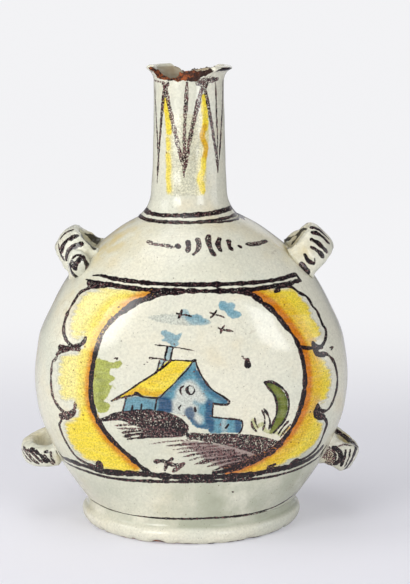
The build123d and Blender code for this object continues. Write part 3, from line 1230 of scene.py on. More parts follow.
@dataclass(frozen=True)
class Cloud:
    """A grain whose readings are stretched smoothly from one range to another."""

    grain: Grain
    low: float
    high: float
    start: float = 0.0
    end: float = 1.0


@dataclass(frozen=True)
class Dots:
    """Dark dots of one size: cell size in millimetres, share that a dot fills, share of cells left out."""

    size: float
    reach: float
    skipped: float


class NodeDesk:
    """Short ways to add and join the nodes of one material."""

    side_drift: float = 0.7
    warp_share: float = 1.3
    specular: float = 0.35

    def __init__(self, name: str) -> None:
        """Starts an empty material.

        Args:
            name: Name of the material.
        """
        self.material = bpy.data.materials.new(name)
        self.material.use_nodes = True
        self.tree = self.material.node_tree
        self.tree.nodes.clear()
        self.place = self.add("ShaderNodeTexCoord").outputs["Object"]

    def add(self, kind: str, **settings: object) -> bpy.types.Node:
        """Adds a node and sets its options.

        Args:
            kind: Blender's name for the node.
            settings: Options by name.

        Returns:
            The node.
        """
        node = self.tree.nodes.new(kind)
        for key, value in settings.items():
            setattr(node, key, value)
        return node

    def feed(self, socket: bpy.types.NodeSocket, value: object) -> None:
        """Joins an output to a socket, or sets the socket's own value.

        Args:
            socket: The input.
            value: An output, or a plain value.
        """
        if isinstance(value, bpy.types.NodeSocket):
            self.tree.links.new(value, socket)
        else:
            socket.default_value = value

    def sum(self, operation: str, first: object, second: object = 0.0,
            clamp: bool = False) -> bpy.types.NodeSocket:
        """Works out one number from two.

        Args:
            operation: What to do with them.
            first: First number.
            second: Second number.
            clamp: Whether the result stays from 0 to 1.

        Returns:
            The result.
        """
        node = self.add("ShaderNodeMath", operation=operation, use_clamp=clamp)
        self.feed(node.inputs[0], first)
        self.feed(node.inputs[1], second)
        return node.outputs[0]

    def times(self, first: object, second: object, clamp: bool = False) -> bpy.types.NodeSocket:
        """Multiplies two numbers."""
        return self.sum("MULTIPLY", first, second, clamp)

    def span(self, value: object, low: float, high: float, start: float = 0.0,
             end: float = 1.0) -> bpy.types.NodeSocket:
        """Stretches a number smoothly from one range to another.

        Args:
            value: The number.
            low: Reading that gives the start.
            high: Reading that gives the end.
            start: Result at the low reading.
            end: Result at the high reading.

        Returns:
            The result.
        """
        node = self.add("ShaderNodeMapRange", interpolation_type="SMOOTHSTEP")
        for socket, number in zip(node.inputs, (value, low, high, start, end)):
            self.feed(socket, number)
        return node.outputs[0]

    def blend(self, share: object, first: object, second: object, way: str = "MIX") -> bpy.types.NodeSocket:
        """Mixes two colours.

        Args:
            share: Share of the second.
            first: First colour.
            second: Second colour.
            way: How they mix.

        Returns:
            The mixed colour.
        """
        node = self.add("ShaderNodeMix", data_type="RGBA", blend_type=way)
        for name, value in (("Factor_Float", share), ("A_Color", paint(first)), ("B_Color", paint(second))):
            self.feed(next(socket for socket in node.inputs if socket.identifier == name), value)
        return next(socket for socket in node.outputs if socket.identifier == "Result_Color")

    def darken(self, colour: object, share: object) -> bpy.types.NodeSocket:
        """Multiplies a colour's three numbers by one number.

        Args:
            colour: The colour.
            share: The number.

        Returns:
            The darker colour.
        """
        grey = self.add("ShaderNodeCombineColor")
        for socket in grey.inputs:
            self.feed(socket, share)
        return self.blend(1.0, colour, grey.outputs[0], "MULTIPLY")

    def noise(self, grain: Grain) -> bpy.types.NodeSocket:
        """Adds noise from 0 to 1.

        Args:
            grain: Its size, detail, roughness, shift and stretch.

        Returns:
            The noise.
        """
        mapping = self.add("ShaderNodeMapping")
        self.feed(mapping.inputs["Vector"], self.place)
        mapping.inputs["Scale"].default_value = [share / (grain.size * MM) for share in grain.stretch]
        mapping.inputs["Location"].default_value = (grain.shift, grain.shift * self.side_drift, -grain.shift)
        node = self.add("ShaderNodeTexNoise")
        self.feed(node.inputs["Vector"], mapping.outputs[0])
        node.inputs["Scale"].default_value = 1.0
        node.inputs["Detail"].default_value = grain.detail
        node.inputs["Roughness"].default_value = grain.rough
        return node.outputs["Fac"]

    def around_zero(self, grain: Grain, reach: float) -> bpy.types.NodeSocket:
        """Adds noise that swings to both sides of zero.

        Args:
            grain: The noise.
            reach: What its whole range is multiplied by.

        Returns:
            The noise, from minus half the reach to half of it.
        """
        return self.times(self.sum("SUBTRACT", self.noise(grain), 0.5), reach)

    def cloud(self, cloud: Cloud) -> bpy.types.NodeSocket:
        """Adds a cloud, from its start to its end."""
        return self.span(self.noise(cloud.grain), cloud.low, cloud.high, cloud.start, cloud.end)

    def cells(self, size: float, feature: str = "F1", bend: float = 0.0) -> bpy.types.Node:
        """Adds a pattern of uneven cells, with bent walls where wanted.

        Args:
            size: Usual size of a cell in millimetres.
            feature: What is read: the nearest middle or the distance to a wall.
            bend: How far walls are bent, in millimetres.

        Returns:
            The pattern's node.
        """
        mapping = self.add("ShaderNodeMapping")
        mapping.inputs["Scale"].default_value = [1 / (size * MM)] * 3
        source = self.place
        if bend:
            warp = self.add("ShaderNodeTexNoise")
            self.feed(warp.inputs["Vector"], self.place)
            warp.inputs["Scale"].default_value = 1 / (size * self.warp_share * MM)
            push = self.add("ShaderNodeVectorMath", operation="MULTIPLY_ADD")
            self.feed(push.inputs[0], warp.outputs["Color"])
            push.inputs[1].default_value = [bend * MM] * 3
            self.feed(push.inputs[2], self.place)
            source = push.outputs[0]
        self.feed(mapping.inputs["Vector"], source)
        node = self.add("ShaderNodeTexVoronoi", feature=feature)
        node.inputs["Scale"].default_value = 1.0
        node.inputs["Randomness"].default_value = 1.0
        self.feed(node.inputs["Vector"], mapping.outputs[0])
        return node

    def fact(self, name: str) -> bpy.types.NodeSocket:
        """Reads a number that is kept on the mesh's points."""
        return self.add("ShaderNodeAttribute", attribute_name=name).outputs["Fac"]

    def finish(self, colour: object, roughness: object, height: object) -> bpy.types.Material:
        """Joins colour, roughness and height to the shader.

        Args:
            colour: Base colour.
            roughness: Roughness.
            height: Relief in millimetres.

        Returns:
            The material.
        """
        bump = self.add("ShaderNodeBump")
        bump.inputs["Distance"].default_value = MM
        self.feed(bump.inputs["Height"], height)
        shader = self.add("ShaderNodeBsdfPrincipled")
        shader.inputs["Specular IOR Level"].default_value = self.specular
        self.feed(shader.inputs["Base Color"], colour)
        self.feed(shader.inputs["Roughness"], roughness)
        self.feed(shader.inputs["Normal"], bump.outputs[0])
        out = self.add("ShaderNodeOutputMaterial")
        self.feed(out.inputs["Surface"], shader.outputs[0])
        return self.material


def paint(colour: object) -> object:
    """Gives a colour of three numbers a fourth, and leaves anything else alone."""
    return (*colour, 1.0) if isinstance(colour, tuple) and len(colour) == 3 else colour


@dataclass(frozen=True)
class TinGlaze:
    """White tin glaze over brown clay, with the painting fired into it."""

    name: str
    painted: bool = True
    white: Colour = (0.682, 0.660, 0.535)
    cool: Colour = (0.598, 0.602, 0.502)
    cool_patches: Cloud = Cloud(Grain(34.0, 3.0), 0.35, 0.72)
    warm: Colour = (0.655, 0.598, 0.440)
    warm_patches: Cloud = Cloud(Grain(21.0, 4.0, shift=5.0), 0.52, 0.80)
    mottle: Cloud = Cloud(Grain(1.2, 4.0, 0.65, 9.0), 0.3, 0.7, 0.885, 1.06)
    gloss: Cloud = Cloud(Grain(9.0, 3.0, shift=3.0), 0.3, 0.75, 0.10, 0.22)
    craze: Colour = (0.42, 0.38, 0.29)
    craze_size: float = 4.6
    craze_bend: float = 1.6
    craze_width: tuple[float, float] = (0.022, 0.004)
    craze_patches: Cloud = Cloud(Grain(18.0, 2.0, shift=2.0), 0.42, 0.70)
    craze_strength: float = 0.55
    wave: Grain = Grain(11.0, 2.0, shift=1.0)
    wave_height: float = 0.10
    peel: Grain = Grain(1.3, 2.0, shift=7.0)
    peel_height: float = 0.010
    # Brown stain, also the colour of the painted shade in the straps' eyes.
    stain_and_shade: Colour = (0.58, 0.43, 0.13)
    stain_and_shade_patches: Cloud = Cloud(Grain(7.0, 5.0), 0.25, 0.7)
    stain_and_shade_strength: float = 0.8
    # Thick green glaze, also the colour of the painted shade on the base and the foot's collar.
    green: Colour = (0.330, 0.345, 0.255)
    green_and_shade_patches: Cloud = Cloud(Grain(16.0, 3.0), 0.2, 0.6)
    wash_fray: Grain = Grain(1.5, 4.0, shift=4.0)
    wash_fray_reach: float = 1.7
    wash_edge: float = 0.28
    streaks: Cloud = Cloud(Grain(2.6, 5.0, 0.6, 6.0, (0.3, 0.3, 1.7)), 0.32, 0.60, 0.90, 1.0)
    wash_grain: Cloud = Cloud(Grain(0.8, 3.0, 0.7, 11.0), 0.34, 0.66, 0.66, 1.08)
    freckle: Colour = (0.13, 0.045, 0.012)
    freckle_size: float = 3.4
    freckle_reach: tuple[float, float] = (0.17, 0.07)
    freckle_patches: Cloud = Cloud(Grain(6.0, 2.0, shift=19.0), 0.46, 0.56)
    freckle_strength: float = 0.85
    speck: Colour = (0.10, 0.07, 0.04)
    speck_sizes: tuple[Dots, ...] = (Dots(1.3, 0.18, 0.74), Dots(2.6, 0.11, 0.52), Dots(7.5, 0.055, 0.45))
    speck_core: float = 0.45
    speck_fade: float = 0.08
    speck_strength: float = 0.72
    purple: Colour = (0.0045, 0.0022, 0.0032)
    plum: Colour = (0.150, 0.070, 0.068)
    ink_fray: Grain = Grain(0.8, 3.0, shift=8.0)
    ink_fray_reach: float = 0.62
    ink_edge: float = 0.13
    thin_share: float = 0.34
    seeds: Grain = Grain(0.64, 2.5, 0.7, 13.0)
    seed_range: tuple[float, float] = (0.65, 0.70)
    plum_patches: Grain = Grain(1.05, 3.0, 0.7, 17.0)
    plum_range: tuple[float, float] = (0.53, 0.70)
    ink_matt: float = 0.05
    bore: Colour = (0.36, 0.29, 0.19)
    bore_patches: Cloud = Cloud(Grain(5.0, 4.0), 0.2, 0.7, 0.6, 1.0)
    clay: Colour = (0.31, 0.078, 0.018)
    old_clay: Colour = (0.030, 0.011, 0.007)
    worn_clay: Colour = (0.52, 0.33, 0.20)
    old_side: float = 62.0
    old_drift: Grain = Grain(3.6, 5.0, shift=2.5)
    old_range: tuple[float, float] = (0.30, 0.80)
    old_patches: Cloud = Cloud(Grain(1.9, 5.0, 0.7, 3.5), 0.40, 0.56)
    worn_patches: Cloud = Cloud(Grain(1.2, 4.0, 0.7, 6.5), 0.62, 0.74, 0.0, 0.7)
    torn_range: tuple[float, float] = (0.3, 0.7)
    bare_fray: Grain = Grain(1.8, 4.0)
    bare_range: tuple[float, float] = (0.42, 0.62)
    clay_matt: float = 0.6
    crumbs: Grain = Grain(1.5, 6.0, shift=15.0)
    crumb_height: float = 1.1

    def make(self) -> bpy.types.Material:
        """Builds the material.

        Returns:
            The material.
        """
        desk = NodeDesk(self.name)
        wave = desk.times(desk.noise(self.wave), self.wave_height)
        relief = desk.sum("ADD", wave, desk.times(desk.noise(self.peel), self.peel_height))
        colour, gloss = self.ground(desk), desk.cloud(self.gloss)
        if self.painted:
            colour, gloss = self.ink(desk, self.specks(desk, self.wash(desk, colour)), gloss)
            colour, gloss, relief = self.bare(desk, colour, gloss, relief)
        return desk.finish(colour, gloss, relief)

    def ground(self, desk: NodeDesk) -> bpy.types.NodeSocket:
        """Colours the bare glaze: cloudy white, cooler and warmer patches, mottling, crazing.

        Args:
            desk: The material's nodes.

        Returns:
            The colour.
        """
        colour = desk.blend(desk.cloud(self.cool_patches), self.white, self.cool)
        colour = desk.blend(desk.cloud(self.warm_patches), colour, self.warm)
        colour = desk.darken(colour, desk.cloud(self.mottle))
        net = desk.cells(self.craze_size, "DISTANCE_TO_EDGE", self.craze_bend).outputs["Distance"]
        fade = desk.times(desk.cloud(self.craze_patches), self.craze_strength)
        return desk.blend(desk.times(desk.span(net, *self.craze_width), fade), colour, self.craze)

    def specks(self, desk: NodeDesk, colour: object) -> bpy.types.NodeSocket:
        """Scatters dark specks of three sizes over the glaze and its washes.

        Args:
            desk: The material's nodes.
            colour: Colour so far.

        Returns:
            The colour.
        """
        for dots in self.speck_sizes:
            cells = desk.cells(dots.size)
            spot = desk.span(cells.outputs["Distance"], dots.reach, dots.reach * self.speck_core)
            parts = desk.add("ShaderNodeSeparateColor")
            desk.feed(parts.inputs[0], cells.outputs["Color"])
            chosen = desk.span(parts.outputs[0], dots.skipped, dots.skipped + self.speck_fade)
            colour = desk.blend(desk.times(desk.times(spot, chosen), self.speck_strength), colour, self.speck)
        return colour

    def wash(self, desk: NodeDesk, colour: object) -> bpy.types.NodeSocket:
        """Lays the stains, the green pools, the washes and their rusty freckles over the glaze. The stains
        also carry painted shade in the straps' eyes, and the green pools carry painted shade on the base and
        the foot's collar.

        Args:
            desk: The material's nodes.
            colour: Colour so far.

        Returns:
            The colour.
        """
        # Brown stains, with painted shade in the straps' eyes.
        soil_and_shade = desk.times(desk.fact("stain_and_shade"), desk.cloud(self.stain_and_shade_patches))
        colour = desk.blend(desk.times(soil_and_shade, self.stain_and_shade_strength, True), colour, self.stain_and_shade)
        # Green pools with painted shade: darker greenish glaze on the base and the foot's collar.
        pool_and_shade = desk.times(desk.fact("green"), desk.cloud(self.green_and_shade_patches), True)
        colour = desk.blend(pool_and_shade, colour, self.green)
        tint = desk.add("ShaderNodeAttribute", attribute_name="tint")
        frayed = desk.around_zero(self.wash_fray, self.wash_fray_reach)
        wash = desk.span(desk.sum("ADD", desk.fact("edge"), frayed), self.wash_edge, -self.wash_edge)
        load = desk.times(tint.outputs["Alpha"], desk.cloud(self.streaks))
        colour = desk.blend(desk.times(wash, load), colour, tint.outputs["Color"])
        colour = desk.blend(wash, colour, desk.darken(colour, desk.cloud(self.wash_grain)))
        dots = desk.span(desk.cells(self.freckle_size).outputs["Distance"], *self.freckle_reach)
        freckle = desk.times(desk.times(wash, dots), desk.cloud(self.freckle_patches))
        return desk.blend(desk.times(freckle, self.freckle_strength), colour, self.freckle)

    def ink(self, desk: NodeDesk, colour: object, gloss: object) -> tuple:
        """Lays the manganese lines: ragged, seeded with bare specks, purple to plum where thin.

        Args:
            desk: The material's nodes.
            colour: Colour so far.
            gloss: Roughness so far.

        Returns:
            Colour and roughness.
        """
        rag = desk.around_zero(self.ink_fray, self.ink_fray_reach)
        inked = desk.span(desk.sum("ADD", desk.fact("line"), rag), self.ink_edge, -self.ink_edge)
        thin = desk.times(desk.sum("SUBTRACT", 1.0, desk.fact("tone")), self.thin_share)
        pale = desk.span(desk.sum("ADD", desk.noise(self.seeds), thin), *self.seed_range)
        body = desk.span(desk.sum("ADD", desk.noise(self.plum_patches), thin), *self.plum_range)
        held = desk.times(inked, desk.sum("SUBTRACT", 1.0, pale))
        colour = desk.blend(held, colour, desk.blend(body, self.purple, self.plum))
        return colour, desk.sum("ADD", gloss, desk.times(inked, self.ink_matt))

    def bare(self, desk: NodeDesk, colour: object, gloss: object, relief: object) -> tuple:
        """Shows the clay where glaze is broken off, and the thin glaze inside the neck.

        Args:
            desk: The material's nodes.
            colour: Colour so far.
            gloss: Roughness so far.
            relief: Height so far.

        Returns:
            Colour, roughness and height.
        """
        colour = desk.blend(desk.times(desk.fact("inside"), desk.cloud(self.bore_patches)), colour, self.bore)
        split = desk.add("ShaderNodeSeparateXYZ")
        desk.feed(split.inputs[0], desk.place)
        drift = desk.sum("ADD", desk.times(split.outputs[0], self.old_side), desk.noise(self.old_drift))
        clay = desk.blend(desk.span(drift, *self.old_range), self.clay, self.old_clay)
        clay = desk.blend(desk.cloud(self.old_patches), clay, self.old_clay)
        clay = desk.blend(desk.cloud(self.worn_patches), clay, self.worn_clay)
        worn = desk.sum("ADD", desk.fact("bare"), desk.around_zero(self.bare_fray, 1.0))
        torn = desk.span(desk.fact("broken"), *self.torn_range)
        open_clay = desk.sum("MAXIMUM", torn, desk.span(worn, *self.bare_range))
        colour = desk.blend(open_clay, colour, clay)
        gloss = desk.sum("ADD", gloss, desk.times(open_clay, self.clay_matt))
        crumbs = desk.times(desk.times(desk.noise(self.crumbs), self.crumb_height), open_clay)
        return colour, gloss, desk.sum("ADD", relief, crumbs)


@dataclass(frozen=True)
class PaleBackdrop:
    """Matt pale paper that takes a shadow, with a painted glow for the camera: darker and bluer near the
    flask, paler far off, standing in for the light's falloff.
    """

    paper: Colour = (0.83, 0.825, 0.87)
    near: Colour = (0.800, 0.795, 0.845)
    far: Colour = (0.915, 0.915, 0.932)
    near_share: float = 0.34
    far_share: float = 0.97
    gradient: tuple[float, float] = (-0.10, 0.62)

    def make(self) -> bpy.types.Material:
        """Builds the material. Its painted glow turns paler and more even from near the camera to far off,
        standing in for the light's falloff on the paper.

        Returns:
            The material.
        """
        desk = NodeDesk("pale_backdrop")
        split = desk.add("ShaderNodeSeparateXYZ")
        desk.feed(split.inputs[0], desk.place)
        away = desk.span(split.outputs[1], *self.gradient)
        matt = desk.add("ShaderNodeBsdfDiffuse")
        matt.inputs["Color"].default_value = paint(self.paper)
        glow = desk.add("ShaderNodeEmission")
        desk.feed(glow.inputs["Color"], desk.blend(away, self.near, self.far))
        rays = desk.add("ShaderNodeLightPath")
        share = desk.span(away, 0.0, 1.0, self.near_share, self.far_share)
        mixed = desk.add("ShaderNodeMixShader")
        sources = (desk.times(rays.outputs["Is Camera Ray"], share), matt.outputs[0], glow.outputs[0])
        for socket, source in zip(mixed.inputs, sources):
            desk.feed(socket, source)
        out = desk.add("ShaderNodeOutputMaterial")
        desk.feed(out.inputs["Surface"], mixed.outputs[0])
        return desk.material


# The studio


@dataclass(frozen=True)
class Softbox:
    """A large, even lamp that looks at the flask's middle. Sizes are in millimetres, power in watts."""

    name: str
    place: tuple[float, float, float]
    size: tuple[float, float]
    power: float
    tint: Colour = (1.0, 1.0, 1.0)
    target: tuple[float, float, float] = (0.0, 0.0, 90.0)

    def build(self) -> None:
        """Makes the lamp. It tips by the angle between up and its way from the flask, and turns to match."""
        data = bpy.data.lights.new(self.name, "AREA")
        data.shape = "RECTANGLE"
        data.size, data.size_y = (value * MM for value in self.size)
        data.energy, data.color = self.power, self.tint
        lamp = bpy.data.objects.new(self.name, data)
        x, y, z = np.array(self.place) - np.array(self.target)
        lamp.location = [value * MM for value in self.place]
        lamp.rotation_euler = (math.atan2(math.hypot(x, y), z), 0.0, math.atan2(x, -y))
        bpy.context.scene.collection.objects.link(lamp)


@dataclass
class Studio:
    """Paper sweep, lamps and plain surrounding light."""

    lamps: tuple[Softbox, ...] = (
        Softbox("left_softbox", (-640.0, -845.0, 412.0), (470.0, 570.0), 8.1, (1.0, 0.99, 0.97)),
        Softbox("left_card", (-1000.0, -190.0, 560.0), (500.0, 620.0), 2.9),
        Softbox("right_softbox", (602.0, -892.0, 330.0), (350.0, 460.0), 3.9, (0.97, 0.98, 1.0)),
        Softbox("right_card", (1090.0, -180.0, 260.0), (500.0, 620.0), 2.4, (0.97, 0.98, 1.0)),
        Softbox("back_softbox", (260.0, 1150.0, 520.0), (700.0, 500.0), 0.9),
        Softbox("top_softbox", (-120.0, -60.0, 950.0), (700.0, 500.0), 2.8),
    )
    surround: Colour = (0.86, 0.88, 0.99)
    surround_strength: float = 0.20
    seen: Colour = (0.86, 0.86, 0.885)
    floor_front: float = -560.0
    floor_back: float = 2600.0
    half_width: float = 3600.0
    wall_height: float = 3400.0
    bend: float = 500.0
    bend_rows: int = 24

    def build(self) -> None:
        """Makes the sweep, the lamps and the world."""
        for lamp in self.lamps:
            lamp.build()
        world = bpy.data.worlds.new("studio")
        world.use_nodes = True
        tree = world.node_tree
        tree.nodes["Background"].inputs["Color"].default_value = paint(self.surround)
        tree.nodes["Background"].inputs["Strength"].default_value = self.surround_strength
        seen = tree.nodes.new("ShaderNodeBackground")
        seen.inputs["Color"].default_value = paint(self.seen)
        rays = tree.nodes.new("ShaderNodeLightPath")
        mixed = tree.nodes.new("ShaderNodeMixShader")
        tree.links.new(rays.outputs["Is Camera Ray"], mixed.inputs[0])
        tree.links.new(tree.nodes["Background"].outputs[0], mixed.inputs[1])
        tree.links.new(seen.outputs[0], mixed.inputs[2])
        tree.links.new(mixed.outputs[0], tree.nodes["World Output"].inputs["Surface"])
        bpy.context.scene.world = world
        bpy.context.scene.view_settings.view_transform = "Standard"
        self.build_sweep()

    def build_sweep(self) -> None:
        """Makes the paper: a level floor, a quarter circle and an upright wall, carried sideways."""
        curve = np.linspace(0, math.pi / 2, self.bend_rows)
        forth = np.concatenate((
            [self.floor_front], self.floor_back + self.bend * np.sin(curve), [self.floor_back + self.bend]))
        up = np.concatenate(([0.0], self.bend * (1 - np.cos(curve)), [self.wall_height]))
        across = np.linspace(-self.half_width, self.half_width, 3)
        spots = np.stack(np.broadcast_arrays(across[None, :], forth[:, None], up[:, None]), axis=-1)
        rows, columns = spots.shape[:2]
        index = np.arange(rows * columns).reshape(rows, columns)
        quads = four_sided(index)
        mesh = bpy.data.meshes.new("paper_sweep")
        mesh.from_pydata((spots * MM).reshape(-1, 3).tolist(), [], quads.tolist())
        mesh.polygons.foreach_set("use_smooth", np.ones(len(quads), bool))
        mesh.materials.append(PaleBackdrop().make())
        sweep = bpy.data.objects.new("paper_sweep", mesh)
        bpy.context.scene.collection.objects.link(sweep)


# The painting, stroke by stroke, through the photograph's picture points

Marks = dict[str, "Stroke | Wash"]

BODY_BANDS: Marks = {
    "foot_line": Stroke(((80, 492.5), (84, 496), (90, 500), (100, 505), (110, 509.5), (120, 512.7),
        (130, 515.2), (150, 517.5), (170, 518.6), (190, 518.8), (210, 518), (230, 516.8), (250, 514),
        (270, 508.6), (280, 504), (286, 500.5), (297, 493)), 0.95, 0.95, (0.8, 0.8)),
    "foot_line_again": Stroke(((238, 518.4), (250, 516.5), (262, 513.4), (268, 511)), 0.9, 0.7, (0.3, 0.3)),
}

NECK_LINES: Marks = {
    "neck_line_upper": Stroke(((143.5, 207.5), (146, 210.4), (150, 212.8), (160, 215), (175, 215.6),
        (190, 215.4), (210, 213.6), (220, 211.5), (230, 208.2), (233, 206)), 2.25, 0.92, (0.9, 0.9)),
    "neck_line_lower": Stroke(((137.5, 212.5), (142, 217.4), (150, 220.6), (160, 222), (175, 222.7),
        (190, 222.3), (210, 220.8), (222, 218.8), (232, 216), (238, 212.5)), 1.75, 0.9, (0.8, 0.8)),
}

SHOULDER_STROKES: Marks = {
    "left_stroke": Stroke(((148, 241.4), (152, 243.4), (158, 244.6), (166, 245.6), (173, 247.4)),
        1.9, 0.72, (1.0, 0.6)),
    "left_dot": Stroke(((177.4, 245.6), (178.6, 246.8)), 2.2, 1.0, (1.0, 1.0)),
    "first_leaf": Stroke(((188, 242), (188.6, 246.6), (187.6, 251.4)), 2.15, 0.88, (1.0, 0.8)),
    "second_leaf": Stroke(((197.6, 239.6), (199, 244.6), (197.4, 250.6), (193.4, 254.4)),
        2.0, 0.8, (1.0, 0.8)),
    "middle_leaf": Stroke(((208.8, 236), (208.2, 241), (210.2, 247.6), (212, 252), (214.6, 254.8)),
        2.15, 0.85, (1.1, 0.7)),
    "third_leaf": Stroke(((219.4, 239), (218, 243.6), (219.2, 248), (221, 251)), 2.15, 0.9, (1.0, 0.7)),
    "fourth_leaf": Stroke(((228.8, 241.4), (229.4, 246), (231.8, 249.6)), 2.0, 0.9, (1.0, 0.7)),
    "right_dot": Stroke(((239, 246), (240.4, 246.8)), 2.0, 1.0, (1.0, 1.0)),
    "right_stroke": Stroke(((246, 244.4), (252, 244.2), (259, 243.2), (266.4, 240.8)), 2.1, 0.82, (0.5, 1.0)),
}

BELT_LINES: Marks = {
    "upper_first": Stroke(((93, 275.4), (101, 275.4), (110, 277.8), (120, 279.6), (135, 281.6), (150, 283.2),
        (170, 284.2), (190, 284.6), (215, 284.4), (240, 283.4), (262, 281.8), (280, 279), (290, 276),
        (296, 274.2)), 1.95, 1.0, (0.5, 1.0)),
    "upper_corner": Stroke(((295.6, 274), (298.4, 277.4), (300.6, 280)), 1.5, 1.0, (1.0, 1.0)),
    "upper_second": Stroke(((86, 279.4), (95, 281.6), (104, 283.4), (120, 286.4), (140, 289), (160, 290.4),
        (190, 291), (220, 291), (245, 290.4), (262, 288), (278, 285.6), (290, 283.2), (300, 280)),
        2.1, 1.0, (0.4, 1.0)),
    "upper_knot": Stroke(((88, 281.8), (92, 285.4), (98, 286.6), (106, 286.4)), 2.1, 0.9, (0.6, 0.6)),
    "lower_first": Stroke(((59, 452.8), (63, 457.4), (70, 460.6), (78, 463.6), (86, 466.4), (96, 469.4),
        (104, 471.4), (120, 473), (135, 473.6), (150, 474.6), (170, 476.6), (190, 477), (215, 476.8),
        (235, 476), (255, 474), (270, 470.6), (290, 466.6), (304, 461.8), (314, 455.6), (322, 447.4)),
        2.4, 1.0, (0.6, 1.0)),
    "lower_second": Stroke(((61, 457.6), (66, 462.4), (74, 466.6), (84, 470.4), (96, 474.4), (110, 477.8),
        (130, 480.2), (150, 481.2), (170, 481.8), (195, 481.6), (225, 480.8), (250, 479.4), (270, 476.8),
        (286, 473), (300, 468.2), (312, 461.6), (319, 456.4), (323, 450)), 1.3, 0.95, (0.6, 1.0)),
    "lower_end": Stroke(((321, 456), (323.4, 450.6), (326, 446.4)), 1.6, 1.0, (1.0, 1.0)),
}

MEDALLION_BORDER: Marks = {
    "left_top": Stroke(((196, 290.6), (180, 291.4), (166, 292.6), (154, 295.4), (146, 298.8), (138, 301.4),
        (131, 305.6), (125, 310)), 2.5, 1.0, (0.5, 1.0)),
    "left_faint": Stroke(((128, 308), (121, 312.6), (115, 317.6), (109, 323.4), (104.6, 329.4)),
        1.9, 0.86, (1.0, 0.9)),
    "left_pale": Stroke(((106, 327), (102, 333.4), (99.4, 340), (97, 347)), 1.7, 0.8, (0.9, 0.9)),
    "left_side": Stroke(((98, 344), (95.6, 352), (93.6, 362), (91.8, 373), (90.8, 384), (91, 396),
        (92.6, 406), (95.4, 415), (99.4, 422.6), (104, 430), (110, 437.6), (117, 445), (124, 451.6),
        (131, 457.6), (138, 464), (145, 470), (153, 474.6)), 1.9, 1.0, (0.9, 1.0)),
    "right_side": Stroke(((214, 290.8), (230, 291.2), (241, 291.6), (249, 293.8), (257, 299), (264, 303.8),
        (271, 309), (278, 316.4), (284, 324.4), (290.4, 332), (296, 340), (299.4, 348), (302.4, 358),
        (304.2, 368), (305, 378), (304.6, 388), (303, 398), (300.4, 408), (297, 417), (292.4, 426.4),
        (287, 434.8), (280, 442.4), (271, 449.4), (261, 456.6), (250, 462.4), (238, 467), (226, 470.6),
        (214, 473)), 2.0, 1.0, (0.5, 0.9)),
    "right_top_again": Stroke(((246, 290.6), (254, 294.8), (262, 299.6)), 1.6, 0.9, (0.4, 0.4)),
}

SCALLOPS: Marks = {
    "left_top": Stroke(((100, 284), (92, 286.6), (86, 289.4), (80, 292.6), (75.6, 299), (71, 306.4),
        (67.4, 313.4), (64.8, 321), (63.6, 329), (64.6, 336), (68, 342.4), (73, 345.4), (79, 345),
        (84, 341.6), (85.4, 338)), 1.86, 0.85, (0.9, 1.1)),
    "left_link": Stroke(((60, 347.4), (66, 348.6), (73, 347.4), (79, 347.6)), 2.34, 0.9, (1.0, 0.7)),
    "left_middle": Stroke(((79, 349.6), (70, 349.6), (62, 351), (57.4, 354), (56, 358.6), (52.6, 361.6),
        (51.6, 368), (51, 376), (51.2, 386), (52.8, 396), (56.4, 403.6), (61, 409.6), (66.6, 413),
        (71.4, 412), (74.6, 409), (75.2, 404.6)), 1.51, 0.75, (1.2, 1.3)),
    "left_foot": Stroke(((61, 416), (67, 417.2), (71.4, 415), (74.8, 411)), 2.34, 0.8, (0.9, 0.7)),
    "left_bottom": Stroke(((62, 416), (61.2, 421), (59.4, 424.6), (61, 430.6), (63.6, 437.4), (67.6, 444.6),
        (72, 451.6), (77, 457.4), (84, 462), (92, 465.4), (100, 467.6)), 1.45, 0.85, (1.4, 1.3)),
    "left_blob": Stroke(((99.4, 463.8), (99.6, 468.6)), 2.76, 0.9, (0.9, 1.0)),
    "right_top": Stroke(((278, 287.4), (288, 286), (294, 288.4), (299, 292.6), (305, 295.4), (309.4, 300),
        (312.4, 306), (316.8, 310.6), (319.8, 317.6), (322.4, 324), (325.6, 329.4), (326, 335.6),
        (324.4, 342), (320.6, 346.4), (316.4, 346), (313, 342.6)), 1.73, 1.0, (1.5, 1.6)),
    "right_link": Stroke(((300, 346.6), (307, 348), (315, 347.8), (322, 347.4)), 1.79, 1.0, (0.8, 0.9)),
    "right_hook": Stroke(((313, 344), (315, 350), (318.6, 354.6), (324, 354.4)), 2.48, 1.0, (0.9, 0.9)),
    "right_middle": Stroke(((318, 353.6), (325, 353.6), (330, 356.6), (334, 362), (336.2, 369.4),
        (337.4, 378), (336.8, 388), (334.8, 396), (332.2, 403), (329, 408.4), (324.6, 411.2), (320, 409.4),
        (317.6, 404.6)), 1.58, 0.95, (1.3, 1.5)),
    "right_foot": Stroke(((317.4, 407), (316.2, 413), (319.4, 416.6), (324, 417)), 3.04, 0.95, (0.9, 0.8)),
    "right_bottom": Stroke(((321, 416.6), (325.4, 419.4), (326.8, 424), (325, 430), (322.8, 436), (320, 443),
        (315.6, 449.6), (309.6, 455), (303, 459), (296, 461.6)), 1.51, 0.95, (1.4, 1.0)),
    "right_blob": Stroke(((292, 463.6), (297, 460.4)), 2.62, 0.95, (0.9, 0.9)),
    "right_blob_again": Stroke(((268, 467.4), (275, 464.4)), 1.79, 0.8, (0.8, 0.8)),
    "right_tuft": Stroke(((275, 291.6), (279, 290)), 2.06, 0.9, (0.8, 0.8)),
}

